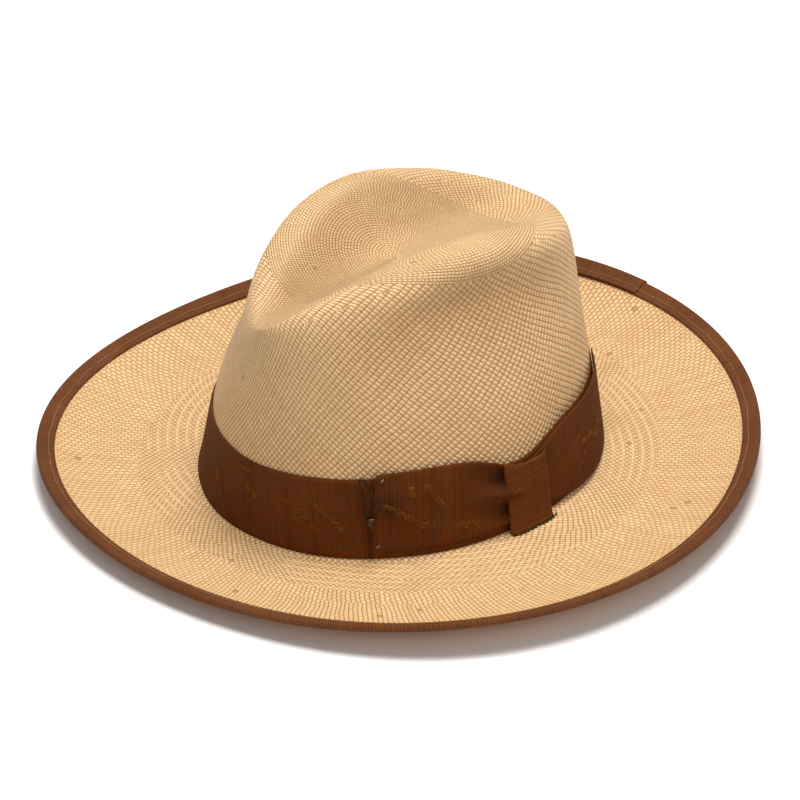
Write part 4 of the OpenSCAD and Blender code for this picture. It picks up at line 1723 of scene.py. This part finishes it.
@dataclass(frozen=True)
class Sweatband:
    """The leather inside the foot, its taped reed, its stitching and the little bow at its seam."""

    foot: float = 0.3 * MM
    height: float = 34.0 * MM
    leather_t: float = 1.2 * MM
    inset: float = 2.0 * MM
    tape_half: float = 1.6 * MM
    reed_r: float = 0.9 * MM
    bow_z: float = 18.0 * MM

    @property
    def face(self) -> float:
        """Stand-off of the leather's inner face from the straw's outer face."""
        return -(self.inset + self.leather_t)

    def build_leather(self, looks: Finishes) -> None:
        """The band itself, with shallow creases round the brow.

        Args:
            looks: The hat's finishes.
        """
        a = TURN * np.arange(540) / 540
        off = lambda a, s: self.face + 0.10 * MM * (1.0 + np.sin(16.0 * a + 5.0 * s) * np.sin(7.0 * a)) * s
        low = lambda a, s: self.foot + 0.0 * a
        high = lambda a, s: self.foot + self.height + 0.0 * a
        patch = ribbon_patch(a, low, high, off, self.leather_t - 0.2 * MM, 20, True, flared=0.0)
        piece = place(build_mesh("sweatband_leather", [patch]), looks.leather, "sweat_leather", "sweatband")

    def centre_line(self, a: Array) -> Array:
        """The reed's centre line: the foot's ellipse moved in under the leather, level.

        Args:
            a: Angles round the hat.

        Returns:
            Points on it.
        """
        f = FORM.foot(a)
        t = unit((FORM.foot(a + 0.008) - FORM.foot(a - 0.008)) * [1.0, 1.0, 0.0])
        out = np.stack([t[:, 1], -t[:, 0], 0.0 * a], -1)
        p = f - out * (self.inset + self.leather_t / 2.0)
        p[:, 2] = self.tape_half
        return p

    def build_reed(self, looks: Finishes) -> None:
        """The reed and the tape folded round it, open along the top where the leather is sewn down.

        Args:
            looks: The hat's finishes.
        """
        a = TURN * np.arange(480) / 480
        p = self.centre_line(a)
        t = unit(np.roll(p, -1, 0) - np.roll(p, 1, 0))
        out = np.stack([t[:, 1], -t[:, 0], 0.0 * a], -1)
        up = np.array([0.0, 0.0, 1.0])

        def ring(w: Array, r: Array) -> Array:
            """Sections round the centre line at angles w and radii r."""
            spoke = out[:, None] * np.cos(w)[None, :, None] + up * np.sin(w)[None, :, None]
            return p[:, None] + r[..., None] * spoke

        w = TURN * np.arange(14) / 14
        reed = ring(w, np.full((1, 14), self.reed_r))
        run = TURN * 0.094 * np.arange(481) / 480
        uv = grid_map(run[:, None] / DM, np.linspace(0.0, 0.06, 15)[None, :])
        core = Patch(reed, wrap_rows=True, wrap_cols=True, uvs={"cloth": uv})
        place(build_mesh("reed_core", [core]), looks.reed, "reed_core", "reed")
        arc = np.radians(np.linspace(118.0, 422.0, 22))
        shell = ring(arc, np.full((1, 22), self.tape_half))
        bore = ring(arc[::-1], np.full((1, 22), self.reed_r + 0.14 * MM))
        wrap = np.concatenate([shell, bore], 1)
        uv = grid_map(run[:, None] / DM, np.linspace(0.0, 0.17, 45)[None, :])
        tape = Patch(wrap, wrap_rows=True, wrap_cols=True, uvs={"cloth": uv})
        place(build_mesh("reed_tape_wrap", [tape]), looks.tape, "cotton_tape", "reed_tape")

    def build_stitches(self, looks: Finishes) -> None:
        """Zigzag stitches near the leather's foot.

        Args:
            looks: The hat's finishes.
        """
        count = 300
        start = TURN * np.arange(count) / count
        t = np.linspace(0.0, 1.0, 7)[None, :]
        a = start[:, None] + TURN / count * 0.9 * t
        side = np.where(np.arange(count) % 2 == 0, 1.0, -1.0)[:, None]
        z = self.foot + 3.5 * MM + 0.55 * MM * side * (2.0 * t - 1.0)
        paths = FORM.wall(a, z, self.face - 0.05 * MM - 0.3 * MM * np.sin(np.pi * t), 0.0)
        lift = unit(paths[:, 3] * [1.0, 1.0, 0.0])
        patches = tube_patches(paths, np.full((count, 7), 0.17 * MM), 6, lift)
        piece = build_mesh("sweatband_thread", patches)
        place(piece, looks.white_thread, "white_thread", "sweatband_stitches")

    def build_bow(self, looks: Finishes) -> None:
        """The small flat satin bow: two loops and a wrapped knot.

        Args:
            looks: The hat's finishes.
        """
        loops = []
        seam = math.pi / 2.0
        for side in (-1.0, 1.0):
            middle = seam + side * math.radians(5.8)
            a = np.linspace(middle - math.radians(4.0), middle + math.radians(4.0), 40)
            far = lambda a: np.clip((np.abs(a - seam) - math.radians(1.8)) / math.radians(8.0), 0.0, 1.0)
            half = lambda a: (3.6 - 5.6 * (far(a) - 0.6) ** 2) * MM
            off = lambda a, s: self.face - (1.25 + 0.1 * np.sin(np.pi * s) * far(a)) * MM
            low = lambda a, s: self.bow_z - half(a)
            high = lambda a, s: self.bow_z + half(a)
            loops.append(ribbon_patch(a, low, high, off, 0.8 * MM, 16, False, flared=0.0))
        place(build_mesh("seam_bow_loops", loops), looks.satin, "satin", "sweat_bow")
        low, high = (np.array(c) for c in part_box("sweat_bow_knot"))
        mid, half_size = (low + high) / 2.0, (high - low) / 2.0
        v = np.linspace(-1.0, 1.0, 24)[:, None]
        w = TURN * np.arange(28)[None, :] / 28
        power = lambda x: np.sign(x) * np.abs(x) ** 0.5
        swell = 1.0 - 0.12 * (1.0 - v * v)
        fat = (1.0 - np.abs(v) ** 10) ** 0.25 * swell
        x, y = power(np.cos(w)) * fat, power(np.sin(w)) * fat
        points = mid + np.stack([x, y, v + 0.0 * x], -1) * half_size
        uv = grid_map(np.linspace(0.0, 0.1, 29)[None, :], 0.06 * np.linspace(0.0, 1.0, 24)[:, None])
        wrap = Patch(points, wrap_cols=True, cap_rows=True, turned=True, uvs={"cloth": uv})
        place(build_mesh("seam_bow_wrap", [wrap]), looks.satin, "satin", "sweat_bow_knot")

    def build(self, looks: Finishes) -> None:
        """Builds everything inside the foot.

        Args:
            looks: The hat's finishes.
        """
        self.build_leather(looks)
        self.build_reed(looks)
        self.build_stitches(looks)
        self.build_bow(looks)


# ---------------------------------------------------------------------------
# Safety pin
# ---------------------------------------------------------------------------


@dataclass(frozen=True)
class SafetyPin:
    """The small pin hung in front of the bow's leaf; its arm turns about the coil."""

    length: float = 25.0 * MM
    coil_r: float = 1.5 * MM
    wire_r: float = 0.4 * MM
    wire_off: float = 0.55 * MM
    cap_w: float = 4.8 * MM
    cap_t: float = 2.8 * MM
    cap_mouth: float = -18.0 * MM

    def axes(self) -> tuple[Array, Array, Array, Array]:
        """The pin's own frame from its joint: coil centre, along the ribbon, into it, and up the pin.

        Returns:
            The four vectors.
        """
        joint = frame_joint("pin_opening")
        origin, outward = np.array(joint["pos_m"], float), unit(np.array(joint["axis"], float))
        low, high = (np.array(c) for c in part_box("pin_cap"))
        up = origin - (low + high) / 2.0
        up = unit(up - outward * np.dot(up, outward))
        return origin, np.cross(up, outward), -outward, up

    def to_hat(self, x: Array, y: Array, z: Array) -> Array:
        """Points from the pin's own frame to the hat's."""
        origin, along, inward, up = self.axes()
        return origin + x[..., None] * along + y[..., None] * inward + z[..., None] * up

    def turn(self, start: float, end: float) -> Array:
        """The coil's turn: a circle of the coil's radius between two directions in degrees."""
        w = np.radians(np.linspace(start, end, 60))
        return self.coil_r * np.stack([np.cos(w), np.sin(w)], -1)

    def wire(self, flat: Array, y: float, tip: float) -> Patch:
        """A round wire along a flat path, resampled to an even run and drawn to a point by tip.

        Args:
            flat: Points across and up, in the pin's own plane.
            y: Its place into the ribbon.
            tip: Share of the radius left at the far end.

        Returns:
            The patch.
        """
        run = run_of(flat, 0)
        s = np.linspace(0.0, run[-1], 150)
        x, z = np.interp(s, run, flat[:, 0]), np.interp(s, run, flat[:, 1])
        soft = np.ones(5) / 5.0
        x[2:-2], z[2:-2] = np.convolve(x, soft, "valid"), np.convolve(z, soft, "valid")
        path = self.to_hat(x, np.full_like(x, y), z)[None]
        radii = self.wire_r * (1.0 - (1.0 - tip) * smooth(s, run[-1] * 0.9, run[-1]))
        inward = self.axes()[2]
        return tube_patches(path, radii[None], 14, inward[None])[0]

    def build(self, looks: Finishes) -> None:
        """Builds the back wire with its coil, the arm and the cap.

        Args:
            looks: The hat's finishes.
        """
        leg = np.array([[-1.3, -17.7], [-1.2, -12.0], [-1.3, -6.0], [-1.42, -2.0]]) * MM
        back = self.wire(np.concatenate([leg, self.turn(180.0, -105.0)]), self.wire_off, 1.0)
        place(build_mesh("pin_back_wire", [back]), looks.wire, "pin_wire", "pin_back")
        bow = np.array([[1.9, -2.0], [2.6, -4.0], [3.5, -7.0], [4.3, -10.0],
                        [4.6, -12.5], [4.2, -15.0], [3.1, -17.3], [1.6, -19.4]]) * MM
        arm = self.wire(np.concatenate([self.turn(285.0, 0.0), bow]), -self.wire_off, 0.2)
        place(build_mesh("pin_arm_wire", [arm]), looks.wire, "pin_wire", "pin_arm", body=Body.PIN_ARM)
        place(build_mesh("pin_cap_shell", self.cap()), looks.brass, "pin_brass", "pin_cap")

    def cap(self) -> list[Patch]:
        """The cap: a shield of folded sheet, its front and back plates meeting along the closed side.

        Each plate is a shield outline whose half width narrows down its length. It domes outward as
        sin(w) to the power 0.6 round the section.

        Returns:
            The patch, in a list.
        """
        v = np.linspace(0.0, 1.0, 40)[:, None]
        z = self.cap_mouth - v * (self.length + self.cap_mouth)
        shoulder = 0.84 + 0.16 * np.sin(np.pi * np.clip(v * 2.2, 0.0, 1.0))
        half = self.cap_w / 2.0 * shoulder * (1.0 - smooth(v, 0.3, 1.02) * 0.9)
        w = TURN * np.arange(40)[None, :] / 40
        x = half * np.cos(w)
        dome = np.sign(np.sin(w)) * np.abs(np.sin(w)) ** 0.6
        y = dome * self.cap_t / 2.0 * (1.0 - 0.55 * smooth(v, 0.55, 1.0))
        points = self.to_hat(x, y, z + 0.0 * x)
        uv = grid_map(np.linspace(0.0, 0.1, 41)[None, :], 0.07 * np.linspace(0.0, 1.0, 40)[:, None])
        return [Patch(points, wrap_cols=True, cap_rows=True, uvs={"cloth": uv})]


def frame_joint(name: str) -> dict:
    """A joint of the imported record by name.

    Args:
        name: The joint's name.

    Returns:
        The joint's entry.
    """
    for joint in FRAME["record"]["behaviour"]["joints"]:
        if joint["name"] == name:
            return joint
    raise KeyError(name)


# ---------------------------------------------------------------------------
# Studio
# ---------------------------------------------------------------------------


@dataclass(frozen=True)
class Studio:
    """A pale floor with a brown painted shadow under the hat, soft overhead light and the camera."""

    azimuth: float = math.radians(36.0)
    elevation: float = math.radians(30.975)
    roll: float = math.radians(0.87)
    distance: float = 2.1987
    lens: float = 213.03
    aim: tuple[float, float, float] = (0.0, -0.00627, 0.00881)
    painted_shadow_brown: Colour = (0.58, 0.32, 0.17)
    shade: tuple[float, float, float] = (0.163, 0.174, 0.006)
    aim_right: float = 3.34 * MM
    aim_up: float = 20.05 * MM

    def build_camera(self) -> None:
        """The camera: back along azimuth and elevation from the aim, then turned to centre the hat."""
        ca, sa = math.cos(self.azimuth), math.sin(self.azimuth)
        ce, se = math.cos(self.elevation), math.sin(self.elevation)
        right = Vector((ca, sa, 0.0))
        back = Vector((sa * ce, -ca * ce, se))
        up = back.cross(right)
        aim = Vector(self.aim)
        spot = aim + back * self.distance
        x = math.cos(self.roll) * right + math.sin(self.roll) * up
        y = -math.sin(self.roll) * right + math.cos(self.roll) * up
        target = aim + x * self.aim_right + y * self.aim_up
        z = (spot - target).normalized()
        x = (x - z * x.dot(z)).normalized()
        y = z.cross(x)
        lens = bpy.data.cameras.new("camera")
        lens.sensor_width = 36.0
        lens.lens = self.lens
        lens.clip_end = 20.0
        camera = bpy.data.objects.new("camera", lens)
        camera.matrix_world = Matrix.Translation(spot) @ Matrix((x, y, z)).transposed().to_4x4()
        bpy.context.scene.collection.objects.link(camera)
        bpy.context.scene.camera = camera

    def add_light(self, name: str, spot: Sequence[float], size: float, power: float, tint: Colour) -> None:
        """A square soft box aimed at the hat.

        Args:
            name: The light's name.
            spot: Its place.
            size: Width of the box.
            power: Watts.
            tint: Its colour.
        """
        lamp = bpy.data.lights.new(name, "AREA")
        lamp.shape = "SQUARE"
        lamp.size = size
        lamp.energy = power
        lamp.color = tint
        light = bpy.data.objects.new(name, lamp)
        light.location = spot
        light.rotation_euler = (Vector((0.0, 0.0, 0.05)) - Vector(spot)).to_track_quat("-Z", "Y").to_euler()
        bpy.context.scene.collection.objects.link(light)

    def build(self) -> None:
        """Builds the floor, the lights and the world."""
        scene = bpy.context.scene
        scene.view_settings.view_transform = "Standard"
        r = np.linspace(0.0, 1.0, 40)[:, None] ** 2 * 6.0 + 0.001
        w = TURN * np.arange(64)[None, :] / 64
        points = np.stack([r * np.cos(w), r * np.sin(w), 0.0 * r * w], -1)
        floor = build_mesh("floor", [Patch(points, wrap_cols=True)])
        look, g, shader = new_material("pale_floor")
        tone = g.noise(g.here(), 3.0, 2.0)
        plain = g.tint(tone, (0.955, 0.94, 0.935), (0.975, 0.965, 0.96))
        # Painted shadow: a brown oval on the floor under the hat, fading out at its rim, stands in for shade
        # tinted by light through the straw.
        across, ahead, _ = g.split(g.here())
        half_w, half_l, shift = self.shade
        wide = g.math("POWER", g.math("DIVIDE", across, half_w), 2.0)
        long = g.math("POWER", g.math("DIVIDE", g.plus(ahead, -shift), half_l), 2.0)
        reach = g.math("SQRT", g.plus(wide, long))
        g.put(shader.inputs["Base Color"], g.tint(g.step(reach, 1.06, 0.84), plain, self.painted_shadow_brown))
        shader.inputs["Roughness"].default_value = 0.8
        shader.inputs["Specular IOR Level"].default_value = 0.1
        shader.inputs["Emission Color"].default_value = (1.0, 1.0, 1.0, 1.0)
        shader.inputs["Emission Strength"].default_value = 0.03
        floor.data.materials.append(look)
        floor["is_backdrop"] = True
        self.add_light("over", (0.0, 0.12, 1.7), 0.8, 34.0, (1.0, 0.985, 0.97))
        self.add_light("front", (1.6, -1.8, 1.5), 1.2, 11.0, (1.0, 1.0, 1.0))
        world = bpy.data.worlds.new("room")
        world.use_nodes = True
        back = world.node_tree.nodes["Background"]
        back.inputs[0].default_value = (1.0, 1.0, 1.0, 1.0)
        back.inputs[1].default_value = 0.3
        scene.world = world
        self.build_camera()


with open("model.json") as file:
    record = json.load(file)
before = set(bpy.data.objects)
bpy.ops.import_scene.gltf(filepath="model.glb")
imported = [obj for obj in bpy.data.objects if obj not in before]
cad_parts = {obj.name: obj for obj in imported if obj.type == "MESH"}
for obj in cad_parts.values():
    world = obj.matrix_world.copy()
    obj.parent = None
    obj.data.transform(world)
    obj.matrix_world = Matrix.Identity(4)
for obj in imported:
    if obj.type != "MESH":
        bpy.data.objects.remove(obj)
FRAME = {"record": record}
CAD_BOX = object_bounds()


def write_sizes() -> None:
    """Works out the frame's box and the finished hat's box as plain lists."""
    found = {"cad": CAD_BOX, "visual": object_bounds()}
    boxes = {key: [list(map(float, corner)) for corner in box] for key, box in found.items()}


def main() -> None:
    """Builds the hat from the straw outwards, then the studio round it."""
    logging.basicConfig(level=logging.INFO, format="%(name)s: %(message)s")
    looks = Finishes()
    StrawBody().build(looks)
    BrimBinding().build(looks)
    HatBand().build(looks)
    Sweatband().build(looks)
    SafetyPin().build(looks)
    Studio().build()
    write_sizes()


if __name__ == "__main__":
    main()
